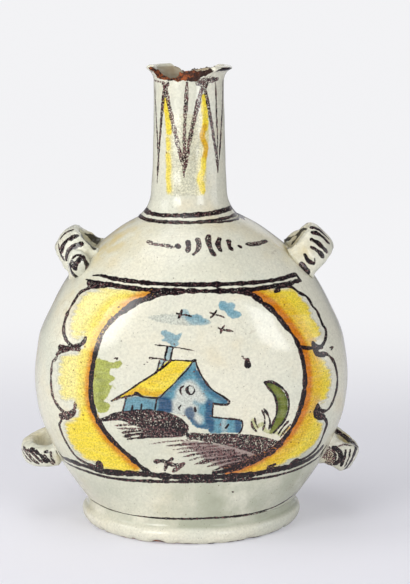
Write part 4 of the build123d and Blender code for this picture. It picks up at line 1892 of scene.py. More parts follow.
PANEL_WASHES: Marks = {
    "left_top": Wash(((150, 290.6), (120, 288), (106, 287.6), (95, 290), (84, 294), (78, 302), (74, 312),
        (71, 324), (71.4, 333), (76, 339), (84, 335), (92, 340), (99, 340), (103, 330), (112, 320),
        (126, 308)), Pigment.PALE_LEMON, 0.92, 3.0, hatch=(1.5, 1.6)),
    "left_middle": Wash(((80, 352), (68, 352.4), (61, 358), (59, 370), (58.4, 382), (60, 394), (65, 403),
        (72, 402), (80, 408), (93, 404), (91, 392), (91, 378), (93, 362), (97, 347), (88, 346)),
        Pigment.PALE_LEMON, 0.9, 3.0, hatch=(1.5, 1.6)),
    "left_bottom": Wash(((76, 417), (67, 421), (65.4, 427), (67.6, 436), (72, 445), (78, 453), (86, 459),
        (97, 463), (105, 470), (120, 471.6), (140, 471.4), (130, 458), (112, 441), (100, 425), (93, 408),
        (84, 406)), Pigment.LEMON, 0.97, 2.6, hatch=(1.5, 1.1)),
    "left_body": Wash(((126, 296), (108, 306), (97, 322), (90, 342), (84, 362), (82, 382), (83, 402),
        (87, 420), (96, 438), (110, 455), (122, 466)), Pigment.LEMON, 0.55, 3.4, 4.5),
    "left_inner": Wash(((150, 293.6), (134, 299), (120, 308), (108, 320), (99, 334), (93.4, 350), (90, 366),
        (88, 384), (88.6, 400), (92, 414), (98, 427), (108, 441), (120, 453), (134, 466)),
        Pigment.GOLD, 0.8, 3.0, 3.4),
    "left_orange": Wash(((94, 352), (90.6, 368), (88.6, 385), (89.4, 402), (93.6, 416), (99.6, 427),
        (109, 440), (121, 452), (136, 466)), Pigment.ORANGE, 0.74, 1.7, 2.4),
    "left_orange_top": Wash(((158, 290.6), (146, 293.8), (134, 298.6), (124, 306)),
        Pigment.ORANGE, 0.62, 2.4, 2.4),
    "right_top": Wash(((252, 291.6), (270, 289), (290, 287.6), (301, 297), (309, 307), (313, 318), (319, 326),
        (320.6, 336), (316, 340), (309, 341), (303, 347), (297, 338), (286, 323), (273, 308)),
        Pigment.LEMON, 0.97, 2.4, hatch=(1.5, 1.2)),
    "right_middle": Wash(((303, 350), (312, 352), (316, 359), (324, 361), (329.6, 369), (331, 380),
        (329.4, 392), (325, 401), (319.6, 402), (314, 401), (309, 409), (299, 412), (304, 398), (306.6, 380),
        (304.6, 362)), Pigment.LEMON, 0.97, 2.8, hatch=(1.5, 1.4)),
    "right_bottom": Wash(((314, 414), (320, 421), (322.8, 425), (320.6, 433), (316, 442), (309, 450),
        (300, 456), (290, 459.6), (276, 467), (258, 470.4), (236, 472), (252, 463.6), (272, 451), (288, 436),
        (299, 416)), Pigment.LEMON, 0.97, 2.2, hatch=(1.5, 0.9)),
    "right_body": Wash(((262, 293), (279, 302), (292, 317), (303, 334), (311, 353), (314, 373), (314, 392),
        (309, 412), (300, 430), (287, 446), (270, 459), (252, 467)), Pigment.GOLD, 0.68, 4.2, 7.4),
    "right_orange": Wash(((250, 291.8), (262, 297.4), (273, 305), (283, 316), (292, 328), (300, 341),
        (305, 355), (307.6, 370), (308, 384), (306.6, 398), (303, 410), (298.4, 421), (291, 432.4),
        (281, 443.6), (268, 453.6), (254, 461.6), (240, 467.6), (228, 471)), Pigment.ORANGE, 0.97, 1.9, 3.8),
}

LANDSCAPE_WASHES: Marks = {
    "bush": Wash(((96, 359), (104, 360), (112, 362), (120, 360.4), (122, 364.4), (118, 368), (111, 369),
        (110, 374), (115, 377), (113.6, 381), (109, 383.4), (111.4, 387), (110, 391.6), (108, 396),
        (104, 401), (109.6, 404), (109.6, 409), (104, 412.6), (98.4, 412), (95, 404), (93, 390), (93.4, 374)),
        Pigment.PALE_GREEN, 0.74, 1.5),
    "bush_shade": Wash(((98, 378), (103, 386), (100, 396), (104, 407)), Pigment.GREEN, 0.22, 1.8, 1.6),
    "bush_wisp": Wash(((112, 385), (115, 388)), Pigment.PALE_GREEN, 0.5, 0.7, 0.5),
    "smoke": Wash(((161, 331), (166, 330), (172, 333), (176, 334.6), (182, 333), (180, 338), (178, 341),
        (179, 345), (173, 347), (167, 342), (161.6, 340.4), (164.6, 337.6), (161, 334)),
        Pigment.SMOKE_BLUE, 0.66, 2.0),
    "left_cloud": Wash(((182, 309), (188, 310), (190, 314.6), (196, 314), (201, 315), (204, 319),
        (209, 319.6), (207, 323), (199, 324.4), (191, 323), (187, 318), (181, 314.6)),
        Pigment.SMOKE_BLUE, 0.5, 2.2),
    "left_cloud_core": Wash(((188, 318.4), (196, 317), (203, 320.4)), Pigment.PALE_BLUE, 0.4, 1.4, 1.1),
    "right_cloud": Wash(((219, 303), (223, 300.6), (228, 303.4), (232, 302), (235.6, 305), (234, 309.4),
        (240, 312), (240.6, 317), (234, 318.6), (228, 316), (224, 311), (219.6, 309)),
        Pigment.SMOKE_BLUE, 0.78, 1.7),
    "right_cloud_core": Wash(((221, 305), (226, 308), (232, 312.4), (238, 315)),
        Pigment.PALE_BLUE, 0.45, 1.6, 1.4),
    "chimney_left": Wash(((159.4, 361), (163, 361), (160, 371), (156.4, 373)), Pigment.SMOKE_BLUE, 0.45, 0.7),
    "chimney_right": Wash(((167, 347.4), (172.4, 347.8), (169.6, 360), (163.6, 367), (164.4, 358)),
        Pigment.SMOKE_BLUE, 0.5, 0.7),
    "roof": Wash(((170, 361), (180, 360.4), (192, 361.4), (190, 364.6), (182, 374), (173, 385), (166, 392.4),
        (160, 397.6), (152, 398.4), (142, 396), (138, 394.4), (128, 395.4), (118, 399), (111, 401),
        (124, 393.4), (140, 382.4), (156, 372)), Pigment.LEMON, 1.0, 0.6),
    "roof_shade": Wash(((128, 395), (140, 391), (152, 394.6), (160, 394)), Pigment.GOLD, 0.85, 1.8, 2.4),
    "roof_middle": Wash(((150, 383), (165, 376), (180, 368)), Pigment.GOLD, 0.28, 2.5, 2.5),
    "gable": Wash(((194.4, 362), (197, 370), (202, 378.4), (208, 386), (215, 392), (222, 396.6), (228, 401),
        (226, 404), (218, 404.4), (213, 404), (212.6, 412), (212, 420), (210, 428.6), (199, 428),
        (193, 424.6), (189, 419), (183, 414), (170, 412.6), (156.6, 410.4), (158, 398.6), (165, 393.6),
        (173, 385.8), (182, 375), (190, 366)), Pigment.PALE_BLUE, 0.9, 0.6),
    "gable_white": Wash(((178, 390), (188, 381.6), (195, 384), (202, 393.6), (205, 400), (200, 404),
        (196, 412), (202, 419), (198, 424), (191, 417), (182, 415), (172, 411.6), (171, 403), (176, 398)),
        Pigment.WHITE, 0.8, 2.2),
    "gable_right": Wash(((196, 371), (202, 381), (209, 389.6), (217, 396), (225, 401.4)),
        Pigment.BLUE, 0.62, 1.3, 1.5),
    "gable_left": Wash(((188, 370), (179, 380.6), (170, 390), (163, 397)), Pigment.BLUE, 0.34, 1.3, 1.3),
    "wall_corner": Wash(((158, 398.6), (168, 398.6), (171.4, 403.6), (170.4, 412), (163, 411), (157, 409.6)),
        Pigment.BLUE, 0.97, 1.6),
    "wall_right": Wash(((207, 402), (212.4, 402), (212, 414), (209.6, 427), (206, 420)),
        Pigment.BLUE, 0.85, 1.2),
    "wall_middle": Wash(((186, 410), (191.6, 408), (194, 415), (190, 420), (186.4, 416)),
        Pigment.BLUE, 0.85, 1.2),
    "wall_foot": Wash(((193, 421), (199, 426.4), (206, 427)), Pigment.BLUE, 0.75, 1.2, 1.3),
    "wall_spot": Wash(((195, 402.6), (200, 405.4), (204, 410)), Pigment.PALE_BLUE, 0.7, 1.3, 1.2),
    "left_wing": Wash(((126.4, 398.6), (138, 396.4), (156.4, 399.6), (155.6, 410.4), (142, 411), (124, 412)),
        Pigment.PALE_BLUE, 0.74, 0.7),
    "left_wing_shade": Wash(((147, 401), (152, 404), (150, 409)), Pigment.BLUE, 0.2, 1.3, 1.2),
    "right_wall": Wash(((212, 418), (226, 419.4), (240.6, 420.4), (242, 426), (240, 432.6), (226, 432.6),
        (209, 432)), Pigment.PALE_BLUE, 0.9, 0.6),
    "right_wall_left": Wash(((211, 421), (210.6, 429)), Pigment.BLUE, 0.85, 1.0, 2.2),
    "right_wall_right": Wash(((238, 422), (238.6, 430)), Pigment.BLUE, 0.85, 1.0, 2.2),
    "right_wall_gap": Wash(((224, 421), (224.6, 430)), Pigment.WHITE, 0.35, 1.3, 1.5),
    "leaf": Wash(((264.6, 382.4), (270, 382.6), (277, 385.6), (283, 391), (287, 398), (288, 406),
        (286.4, 415), (282, 423), (276, 430), (271.6, 434.6), (271, 429), (274.4, 422), (276.6, 412),
        (276.4, 402), (273.4, 394.6), (268.6, 388)), Pigment.GREEN, 0.9, 0.7),
    "leaf_light": Wash(((274, 388), (281, 396), (283.6, 406), (281, 417), (275, 427)),
        Pigment.PALE_GREEN, 0.28, 1.5, 1.6),
    "cloud_smear": Wash(((150, 316), (176, 314), (206, 319), (208, 325), (178, 325), (154, 321)),
        Pigment.SMOKE_BLUE, 0.09, 3.0),
    "ground_wash": Wash(((184, 441), (236, 446), (262, 456), (246, 465), (226, 469), (208, 461), (194, 451)),
        Pigment.PLUM, 0.52, 5.0),
    "mound_wash": Wash(((150, 426), (182, 428), (184, 436), (160, 438), (140, 436)), Pigment.PLUM, 0.4, 4.0),
    "grass": Wash(((253, 420), (256, 428), (262, 424), (266, 431), (274, 432), (281, 434), (288, 428)),
        Pigment.PALE_GREEN, 0.3, 1.8, 1.9),
}

LANDSCAPE_GROUND: Marks = {
    "mound": Stroke(((100.6, 419.6), (108, 416.8), (118, 413.6), (132, 411.4), (146, 410.6), (158, 411.6),
        (170, 414), (179, 417.4), (185.6, 423), (188, 429.4), (184, 436), (172, 437.4), (152, 437.6),
        (150, 431), (136, 426), (120, 420.6), (103, 421.6)), 1.0, 0.84, area=True),
    "mound_top": Stroke(((101, 420), (112, 415.8), (124, 413), (140, 411.4), (156, 412), (170, 415.4),
        (181, 420.4), (186.4, 427), (186, 434)), 1.6, 0.85, (0.6, 0.8)),
    "mound_dark": Stroke(((160, 424), (172, 427), (182, 432)), 2.8, 0.8, (0.5, 0.8)),
    "mound_dark_left": Stroke(((104, 420.6), (116, 418), (130, 417), (146, 418)), 1.5, 0.8, (0.5, 0.5)),
    "mound_streak_1": Stroke(((114, 426), (130, 424.6), (150, 424)), 0.88, 0.72, (0.3, 0.9)),
    "mound_streak_2": Stroke(((117, 428.6), (134, 428.4), (152, 427.6)), 0.81, 0.68, (0.3, 0.9)),
    "mound_streak_3": Stroke(((122, 432.8), (138, 430.6), (156, 430.6)), 1.08, 0.75, (0.5, 0.9)),
    "mound_streak_4": Stroke(((123.6, 436.6), (138, 434), (158, 433.6)), 1.08, 0.85, (0.5, 0.9)),
    "mound_streak_5": Stroke(((127, 439.2), (142, 437.4), (160, 436.6), (178, 435.6)), 1.08, 0.9, (0.4, 0.9)),
    "ground": Stroke(((186, 434.6), (192, 432.4), (205, 433.6), (222, 433.6), (238, 434), (252, 434.8),
        (266, 437.4), (277, 440.6), (286, 438.6), (283, 443), (276, 448.6), (268, 454), (260, 456.6),
        (250, 452.4), (236, 448), (218, 443.6), (200, 440.6), (188, 439)), 1.0, 0.8, area=True),
    "ground_top": Stroke(((190, 434), (208, 435.4), (226, 435.4), (242, 436.2), (256, 437.6), (270, 440.6),
        (282, 443)), 1.5, 0.78, (0.5, 0.9)),
    "ground_right": Stroke(((281, 444), (272, 450), (262, 456.6), (250, 462)), 2.6, 0.86, (0.8, 0.7)),
    "ground_streak_1": Stroke(((148, 444.4), (168, 441.6), (190, 440)), 0.7, 0.55, (0.15, 0.9)),
    "ground_streak_2": Stroke(((166, 446), (186, 444.4), (212, 443)), 1.1, 0.7, (0.15, 0.9)),
    "ground_streak_3": Stroke(((172, 449.8), (192, 447.8), (218, 446)), 0.9, 0.62, (0.15, 0.9)),
    "ground_streak_4": Stroke(((175, 453.2), (196, 450.4), (224, 448.6)), 0.8, 0.6, (0.15, 0.9)),
    "ground_streak_5": Stroke(((182, 457), (204, 453), (234, 450.4)), 1.1, 0.7, (0.15, 0.9)),
    "ground_streak_6": Stroke(((188, 460.6), (208, 456), (240, 453)), 1.0, 0.66, (0.15, 0.9)),
    "ground_streak_7": Stroke(((194, 464.4), (214, 459.6), (246, 455)), 1.3, 0.76, (0.15, 0.9)),
    "ground_streak_8": Stroke(((206, 467), (226, 461.6), (254, 456.6)), 1.3, 0.74, (0.15, 0.9)),
    "ground_streak_9": Stroke(((212, 470.8), (230, 465), (260, 458.4)), 1.4, 0.8, (0.15, 0.9)),
    "ground_streak_10": Stroke(((215, 473.6), (232, 469), (256, 462)), 1.5, 0.88, (0.15, 0.9)),
    "ground_streak_11": Stroke(((226, 472.6), (242, 467.4), (264, 457)), 1.3, 0.82, (0.15, 0.9)),
    "tuft_stem": Stroke(((155, 461.6), (163, 461), (172, 464.6), (182, 465.4)), 1.95, 0.8, (0.8, 0.6)),
    "tuft_left": Stroke(((172, 459), (167, 464), (165, 470)), 1.82, 0.8, (0.9, 0.6)),
    "tuft_right": Stroke(((184, 463.6), (179, 467), (173, 471.6)), 1.82, 0.75, (0.8, 0.6)),
}

LANDSCAPE_LINES: Marks = {
    "ridge": Stroke(((169, 361), (177, 360.2), (186, 360.8), (193, 361)), 0.65, 1.0),
    "ridge_end": Stroke(((193, 361), (195.6, 360.2)), 1.2, 1.0, (1.0, 1.0)),
    "roof_left": Stroke(((170, 361.4), (163.6, 367), (157, 371.8), (148, 377.8), (138, 384), (128, 391),
        (119, 396.4), (111, 401)), 0.78, 0.9, (0.9, 0.6)),
    "roof_under": Stroke(((111, 401), (119, 398.6), (127, 396.4), (134, 395), (138, 393)),
        0.72, 0.85, (0.7, 0.9)),
    "roof_eave": Stroke(((138.6, 394), (142, 396.4), (148, 397.6), (154, 398), (160, 397.6)),
        0.78, 1.0, (1.2, 0.9)),
    "roof_eave_knot": Stroke(((136, 393.4), (140, 395.4)), 1.2, 1.0, (1.0, 1.0)),
    "roof_right": Stroke(((193, 361.6), (187.6, 369), (181, 376), (173, 384.6), (166, 391), (160, 397.4)),
        0.6, 1.0, (1.0, 0.8)),
    "gable_right": Stroke(((195.6, 361), (197.4, 367), (200.6, 374), (205, 381), (210, 387.6), (216.4, 392.6),
        (223, 396.4), (227.4, 400)), 0.85, 1.0, (0.9, 0.9)),
    "eave_tip": Stroke(((226, 398.6), (229.4, 401.6), (227.6, 404.4), (222, 404.6), (213, 403.4)), 0.91, 1.0),
    "wall_right": Stroke(((213.6, 404), (212.6, 410), (212.4, 417)), 0.72, 0.9, (0.8, 0.8)),
    "left_wing_left": Stroke(((126, 397.6), (124.6, 404), (122.6, 412)), 0.78, 0.85, (0.9, 0.6)),
    "left_wing_right": Stroke(((156.8, 398), (156, 404), (154.8, 410.4)), 0.91, 0.95, (0.9, 0.8)),
    "left_window_1": Stroke(((132.4, 405), (132, 410.6)), 0.85, 1.0, (0.8, 0.9)),
    "left_window_2": Stroke(((141.6, 404), (141.2, 409.6)), 0.85, 1.0, (0.8, 0.9)),
    "right_wall_top": Stroke(((212, 417), (226, 418.6), (238, 419.6), (242, 421.6), (242.6, 426), (241, 431),
        (239, 433.4)), 0.78, 0.95, (0.9, 1.0)),
    "right_wall_mark_1": Stroke(((220.6, 423), (220.4, 428)), 0.59, 0.6, (0.7, 0.7)),
    "right_wall_mark_2": Stroke(((225.6, 428), (228.4, 424.6)), 0.91, 1.0, (0.9, 0.9)),
    "round_window": Stroke(((190, 385.6), (194, 388), (194, 392.6), (190.6, 394.6), (186.6, 392),
        (186.4, 388), (190, 385.6)), 0.65, 1.0, (1.0, 1.0)),
    "round_window_shade": Stroke(((188, 387.6), (187.6, 391), (189.6, 393.4)), 0.91, 1.0, (0.8, 0.8)),
    "window_arc": Stroke(((184, 386), (180.4, 388.4), (180.6, 392.4), (182, 395)), 0.72, 0.95, (0.7, 0.6)),
    "wall_dot_1": Stroke(((181, 405.4), (178.6, 408), (180.4, 410.8)), 0.78, 1.0, (0.8, 0.9)),
    "wall_dot_2": Stroke(((194.8, 407.4), (195.4, 411)), 1.2, 1.0, (0.9, 0.9)),
    "wall_dot_3": Stroke(((182.6, 415.4), (185, 415.8)), 0.65, 0.6),
    "chimney_left_1": Stroke(((159.6, 360), (158.4, 366), (156, 373)), 0.78, 0.95, (0.8, 0.9)),
    "chimney_left_2": Stroke(((165, 359.6), (163, 364), (161, 369)), 0.65, 0.9, (0.8, 0.8)),
    "chimney_right_1": Stroke(((167.6, 347), (165.6, 354), (164.6, 360)), 0.78, 1.0, (0.9, 0.8)),
    "chimney_right_2": Stroke(((173, 348), (171.4, 354), (170.4, 361)), 0.72, 0.9, (0.9, 0.8)),
    "cross_stroke_1": Stroke(((155, 344.8), (164, 345.8), (173, 347), (184, 348.8), (196.6, 351.4)),
        0.55, 0.85, (0.9, 0.2)),
    "cross_stroke_2": Stroke(((149.6, 358), (158, 358.6), (168, 360.2)), 0.78, 0.85, (0.8, 0.5)),
    "bird_1": Stroke(((176.6, 313.4), (181, 314.4), (188, 315.4), (193, 317)), 0.77, 0.8, (0.9, 0.15)),
    "bird_1_wing": Stroke(((182, 310), (180.6, 314), (178.6, 318)), 1.1, 0.85, (0.7, 0.7)),
    "bird_2": Stroke(((210, 312.6), (215, 314.6), (221, 316), (225, 318)), 0.85, 0.85, (0.9, 0.15)),
    "bird_2_wing": Stroke(((216.4, 310.6), (214, 314.6), (210.6, 317.6)), 1.18, 0.9, (0.7, 0.7)),
    "bird_3": Stroke(((218, 327.4), (222, 329.6), (229, 330.6), (234.6, 332)), 0.85, 0.8, (0.9, 0.15)),
    "bird_3_wing": Stroke(((224.4, 325.6), (221.8, 329), (220.6, 333)), 1.1, 0.85, (0.7, 0.7)),
    "leaf_right": Stroke(((265, 382), (271, 381.8), (277.4, 384.6), (284, 389.6), (287.6, 396), (289, 405),
        (287.4, 414), (283.4, 422), (278, 428.4), (273.4, 433)), 1.01, 0.95, (1.1, 0.7)),
    "leaf_left": Stroke(((264.6, 382.4), (268, 387.6), (273, 393), (276, 400), (277, 408), (276, 415.6),
        (273.4, 422), (270.6, 429)), 0.94, 0.95, (1.2, 0.7)),
    "blade_1": Stroke(((251.4, 421.6), (252.6, 427), (257, 432)), 0.94, 0.85, (0.8, 0.4)),
    "blade_2": Stroke(((254.6, 418), (256, 424), (258.6, 428.6)), 0.85, 0.8, (0.6, 0.4)),
    "blade_3": Stroke(((261.6, 410), (264.4, 416), (264.6, 424), (262.6, 431)), 0.94, 0.85, (0.6, 0.4)),
    "blade_4": Stroke(((264, 408.6), (268, 415), (270, 422), (268.8, 430)), 0.94, 0.9, (0.6, 0.5)),
    "blade_5": Stroke(((288.6, 421), (283, 427), (278.4, 434)), 1.01, 0.9, (0.5, 0.6)),
    "blade_6": Stroke(((290.6, 424), (285, 430.6), (280.4, 437)), 0.85, 0.8, (0.5, 0.6)),
}

SPECKS: Marks = {
    "kiln_spot": Stroke(((247.6, 359.4), (247.2, 362), (247.8, 365)), 2.1, 1.0, (0.7, 1.1)),
    "kiln_spot_smear": Stroke(((243.4, 357.8), (245.6, 358.8)), 1.1, 0.6),
    "kiln_spot_side": Stroke(((242, 356.2), (243.2, 356.4)), 0.6, 0.9),
    "speck_1": Stroke(((120.8, 341), (121.6, 341.2)), 0.7, 0.95),
    "speck_2": Stroke(((114, 358.6), (117.6, 358), (116.8, 359.6)), 0.6, 0.95),
    "speck_3": Stroke(((144, 364.2), (144.6, 364.8)), 0.6, 0.9),
    "speck_4": Stroke(((147, 362), (147.6, 362.2)), 0.6, 0.85),
    "speck_5": Stroke(((329.6, 347.6), (333, 347), (331, 350)), 0.7, 0.95),
    "speck_6": Stroke(((83.6, 394.4), (84.6, 395)), 0.8, 0.95),
    "speck_7": Stroke(((83.4, 419.8), (84.4, 420.2)), 0.7, 0.9),
    "speck_8": Stroke(((118, 307.2), (119.4, 307)), 0.7, 0.8),
    "speck_9": Stroke(((111.4, 316.6), (112.4, 317)), 0.6, 0.8),
    "speck_10": Stroke(((310, 412), (311, 411.6)), 0.7, 0.9),
    "speck_11": Stroke(((232.4, 491.6), (233.4, 492.2)), 0.7, 0.8),
    "shoulder_fleck_1": Stroke(((322, 278), (325, 284)), 0.5, 0.45, (0.4, 0.4)),
    "hairline": Stroke(((186, 483), (185.6, 492), (186.6, 502), (186, 514)), 0.2, 0.22, (0.5, 0.5)),
    "scratch": Stroke(((190, 493.6), (203, 492.6), (214, 494)), 0.25, 0.25, (0.5, 0.5)),
    "left_side_1": Stroke(((41, 356), (39, 361), (37.6, 368)), 0.6, 0.28, (0.5, 0.4)),
    "left_side_2": Stroke(((38, 372), (39.4, 378), (38.4, 384)), 0.6, 0.28, (0.5, 0.4)),
    "left_side_3": Stroke(((39.6, 336), (40.6, 342)), 0.5, 0.2, (0.5, 0.4)),
}

NECK_WASHES: Marks = {
    "haze": Wash(((168, 108), (186, 110), (204, 112), (207, 160), (204, 192), (188, 196), (168, 192),
        (166, 150)), Pigment.PALE_LEMON, 0.07, 6.0),
    "left_halo": Wash(((165, 100), (167, 122), (168, 145), (168, 170), (168.6, 192)),
        Pigment.PALE_LEMON, 0.3, 2.4, 3.0),
    "left_drip_top": Wash(((165, 101), (166, 112), (168, 124), (169, 132)), Pigment.LEMON, 0.92, 0.8, 1.9),
    "left_drip_middle": Wash(((167.6, 140), (168.2, 148)), Pigment.LEMON, 0.62, 1.2, 1.4),
    "left_drip_end": Wash(((167.6, 155), (168.6, 166), (167.6, 178), (169, 190)),
        Pigment.LEMON, 0.6, 1.2, 1.6),
    "right_halo": Wash(((204, 104), (206, 130), (205, 150), (202, 172), (202, 192)),
        Pigment.PALE_LEMON, 0.32, 2.6, 3.4),
    "right_drip_top": Wash(((203.8, 96), (204.6, 108), (206, 120), (205, 128)),
        Pigment.LEMON, 0.98, 0.8, 2.2),
    "right_drip_middle": Wash(((205, 126), (202.6, 134), (203.4, 140), (206, 146), (206, 152), (203.6, 160)),
        Pigment.GOLD, 0.92, 0.8, 1.5),
    "right_drip_low": Wash(((203.6, 160), (203.4, 168), (201.4, 174)), Pigment.LEMON, 0.95, 0.8, 1.5),
    "right_drip_end": Wash(((201.4, 174), (200, 180), (201.6, 185), (203, 191)),
        Pigment.LEMON, 0.92, 1.0, 1.8),
}

NECK_STROKES: Marks = {
    "left_peak_left": Stroke(((165, 84), (163, 96), (161.6, 112), (160, 130), (158.6, 148), (157.4, 166),
        (156.6, 183)), 1.5, 0.76, (0.9, 0.35)),
    "left_peak_right": Stroke(((165, 84), (167, 96), (170, 111), (173.4, 126), (177, 141), (180, 153),
        (183, 167)), 1.67, 0.66, (0.9, 0.4)),
    "left_peak_cap": Stroke(((163, 83.6), (165, 88), (167.2, 84)), 1.9, 0.7, (0.9, 0.9)),
    "middle": Stroke(((187, 82.6), (186.6, 94), (185.6, 110), (184.6, 128), (184.4, 150), (183.8, 177)),
        1.5, 0.68, (0.6, 0.5)),
    "right_peak_left": Stroke(((203, 84), (200, 96), (196.4, 110), (192.6, 126), (189.4, 142), (186.4, 158),
        (184, 173)), 1.67, 0.68, (0.9, 0.5)),
    "right_peak_right": Stroke(((204, 84), (207, 98), (210, 114), (213, 131), (215.6, 147), (217.6, 160),
        (218.2, 172)), 1.76, 0.74, (0.9, 0.45)),
    "right_peak_cap": Stroke(((201.6, 84), (204, 89), (206.4, 84.4)), 2.2, 0.7, (0.9, 0.9)),
    "left_edge": Stroke(((153.8, 86), (154.6, 104), (155.6, 122), (156.8, 140), (156.6, 156)),
        1.0, 0.75, (0.6, 0.3)),
    "right_inner": Stroke(((216, 83), (216.6, 104), (217.6, 128), (218.2, 150)), 0.9, 0.75, (0.6, 0.3)),
    "right_edge": Stroke(((224, 80), (223.6, 100), (222.4, 122), (221, 142), (219.6, 160)),
        1.2, 0.85, (0.7, 0.3)),
    "lip_band": Stroke(((197, 84), (201, 81.4), (207, 80.6), (213, 80), (218, 79)), 2.3, 0.7, (0.5, 0.8)),
    "lip_grey_line": Stroke(((200, 78.4), (207, 77), (215, 76)), 0.5, 0.35, (0.3, 0.3)),
    "lip_edge_chip": Stroke(((220.6, 63.4), (224.6, 64.4), (229, 66), (230.6, 67.6)), 2.0, 1.0, (0.7, 0.9)),
    "lip_under_chip": Stroke(((217.4, 71.4), (222, 71), (228, 70.8)), 1.3, 1.0, (0.7, 0.9)),
    "left_lip_line": Stroke(((150, 79.4), (157, 81.4), (164, 82.4)), 0.7, 0.6, (0.4, 0.4)),
}

UPPER_LEFT_STRIPES: Marks = {
    # Painted shade with dirt in the dark hollow under the strap.
    "eye_dirt_and_shade": Wash(((82, 234.6), (92, 233), (101, 237), (98, 245), (94.6, 249), (90, 244)),
        Pigment.GRIME, 0.8, 1.6),
    "first": Stroke(((59.6, 238.6), (64, 233.6), (73.6, 228.6)), 1.2, 0.93, (0.7, 0.6)),
    "second": Stroke(((61, 252), (62.6, 245.6), (67, 240), (77, 235.4)), 2.1, 0.93, (0.9, 0.8)),
    "third": Stroke(((66, 259.6), (67.4, 252.6), (72.4, 247.6), (82, 243.6)), 2.1, 0.93, (0.9, 0.8)),
    "outer_edge": Stroke(((57.6, 244), (59.6, 253), (63.6, 261)), 0.8, 0.93, (0.5, 0.5)),
}

UPPER_LEFT_LUMP: Marks = {
    "heart": Stroke(((70.6, 261.6), (73.4, 266), (76.4, 262), (80.6, 258), (84.6, 257.6)),
        2.1, 0.93, (0.9, 0.9)),
    "heart_low": Stroke(((72.6, 266.6), (75.4, 269.4)), 2.0, 0.93, (0.9, 0.8)),
    "left_side": Stroke(((68.6, 265.4), (70, 271.4), (73.4, 276.4), (78, 280)), 2.2, 1.0, (0.9, 0.9)),
    "bottom": Stroke(((76, 277.4), (80.6, 280), (84.6, 277.6)), 2.0, 1.0, (0.9, 0.9)),
    "right_side": Stroke(((84.6, 277), (88, 272.4), (88.8, 266.4), (86.6, 261)), 2.2, 0.95, (0.9, 0.8)),
    "rim": Stroke(((71, 258.6), (76, 254.6), (82, 254.6)), 0.9, 0.93, (0.6, 0.6)),
}

UPPER_RIGHT_STRIPES: Marks = {
    # Painted shade with dirt in the dark hollow under the strap.
    "eye_dirt_and_shade": Wash(((283.6, 239), (290, 235.6), (296, 236), (292, 242), (286.6, 249)),
        Pigment.GRIME, 0.8, 1.6),
    "first": Stroke(((310.6, 226.6), (317, 228), (323, 232), (329, 237.6)), 1.9, 0.95, (0.9, 0.8)),
    "second": Stroke(((312.6, 232.2), (318, 233.6), (324, 237.6), (329.6, 243)), 1.7, 0.95, (0.9, 0.8)),
    "third": Stroke(((311.4, 239.4), (317, 242.4), (322, 246.6), (327, 252)), 1.7, 0.95, (0.9, 0.8)),
    "fourth": Stroke(((311.6, 247.4), (316, 249.6), (320.6, 253.4), (324, 257.6)), 1.6, 0.95, (0.9, 0.7)),
    "fifth": Stroke(((305.2, 255), (307.4, 259.6), (311, 262.6), (314, 264)), 1.6, 0.95, (0.9, 0.8)),
    "oval": Stroke(((301.6, 264.4), (304.6, 268), (307.4, 272), (307, 275)), 2.1, 0.95, (0.9, 0.9)),
    "thin": Stroke(((315, 259), (315.4, 264)), 0.7, 0.95, (0.8, 0.8)),
}

LOWER_LEFT_STRIPES: Marks = {
    "first": Stroke(((22, 447.6), (27, 454), (32.6, 460), (38, 464.4)), 1.9, 0.72, (0.7, 0.8)),
    "second": Stroke(((28, 449.4), (33, 454.6), (38, 459), (42, 462.4)), 1.3, 0.85, (0.8, 0.8)),
    "third": Stroke(((36, 451.6), (41, 456.4), (47, 462.6)), 1.7, 1.0, (0.9, 0.9)),
    "fourth": Stroke(((44, 456), (49, 461), (53.4, 465.4)), 1.2, 0.85, (0.7, 0.8)),
    "spot_1": Stroke(((31.4, 448.6), (33, 449.2)), 1.6, 1.0, (1.0, 1.0)),
    "spot_2": Stroke(((45.4, 451), (47, 451.4)), 1.5, 1.0, (1.0, 1.0)),
    "spot_3": Stroke(((57.6, 450), (59.4, 451)), 1.6, 1.0, (1.0, 1.0)),
    "foot_edge": Stroke(((50.6, 452), (51.6, 458), (55, 464)), 1.0, 0.8, (0.7, 0.7)),
    "outer_edge": Stroke(((20.6, 450), (25, 456.6), (31, 462.6)), 0.9, 0.8, (0.6, 0.6)),
}

LOWER_RIGHT_STRIPES: Marks = {
    "foot_dark": Stroke(((322.6, 451), (327.6, 453.6), (330.6, 458), (329.6, 463.4)), 4.2, 0.62, (0.8, 0.8)),
    "swirl": Stroke(((333.6, 448), (338, 451), (340.8, 456.6), (339, 462), (334.6, 464.4)),
        2.2, 1.0, (0.9, 0.9)),
    "swirl_inner": Stroke(((332.6, 453), (335.4, 456.6), (335, 461)), 1.6, 0.95, (0.8, 0.8)),
    "first": Stroke(((345.4, 451), (344.4, 458), (341, 466)), 1.3, 0.95, (0.8, 0.8)),
    "second": Stroke(((350.4, 449.4), (349, 458), (345.4, 466.4)), 1.1, 0.9, (0.8, 0.8)),
    "edge": Stroke(((357.4, 446.6), (354.6, 455), (350, 464), (345.4, 470)), 2.0, 1.0, (0.9, 0.9)),
    "top_back": Stroke(((335, 428.6), (344, 434.6), (351.6, 440), (356.6, 444.4)), 2.6, 0.9, (0.7, 0.8)),
    "top_edge": Stroke(((338, 446), (345, 443.6), (352, 444.6)), 0.8, 0.7, (0.5, 0.5)),
}


@dataclass(frozen=True)
class SoilAndShade:
    """A patch round a picture point, where the glaze is stained brown or pooled thick and green. The green
    patches are also painted shade, and the brown ones in the straps' eyes are painted shade with stain.
    """

    middle: tuple[float, float]
    reach: float
    strength: float
    green: bool = False


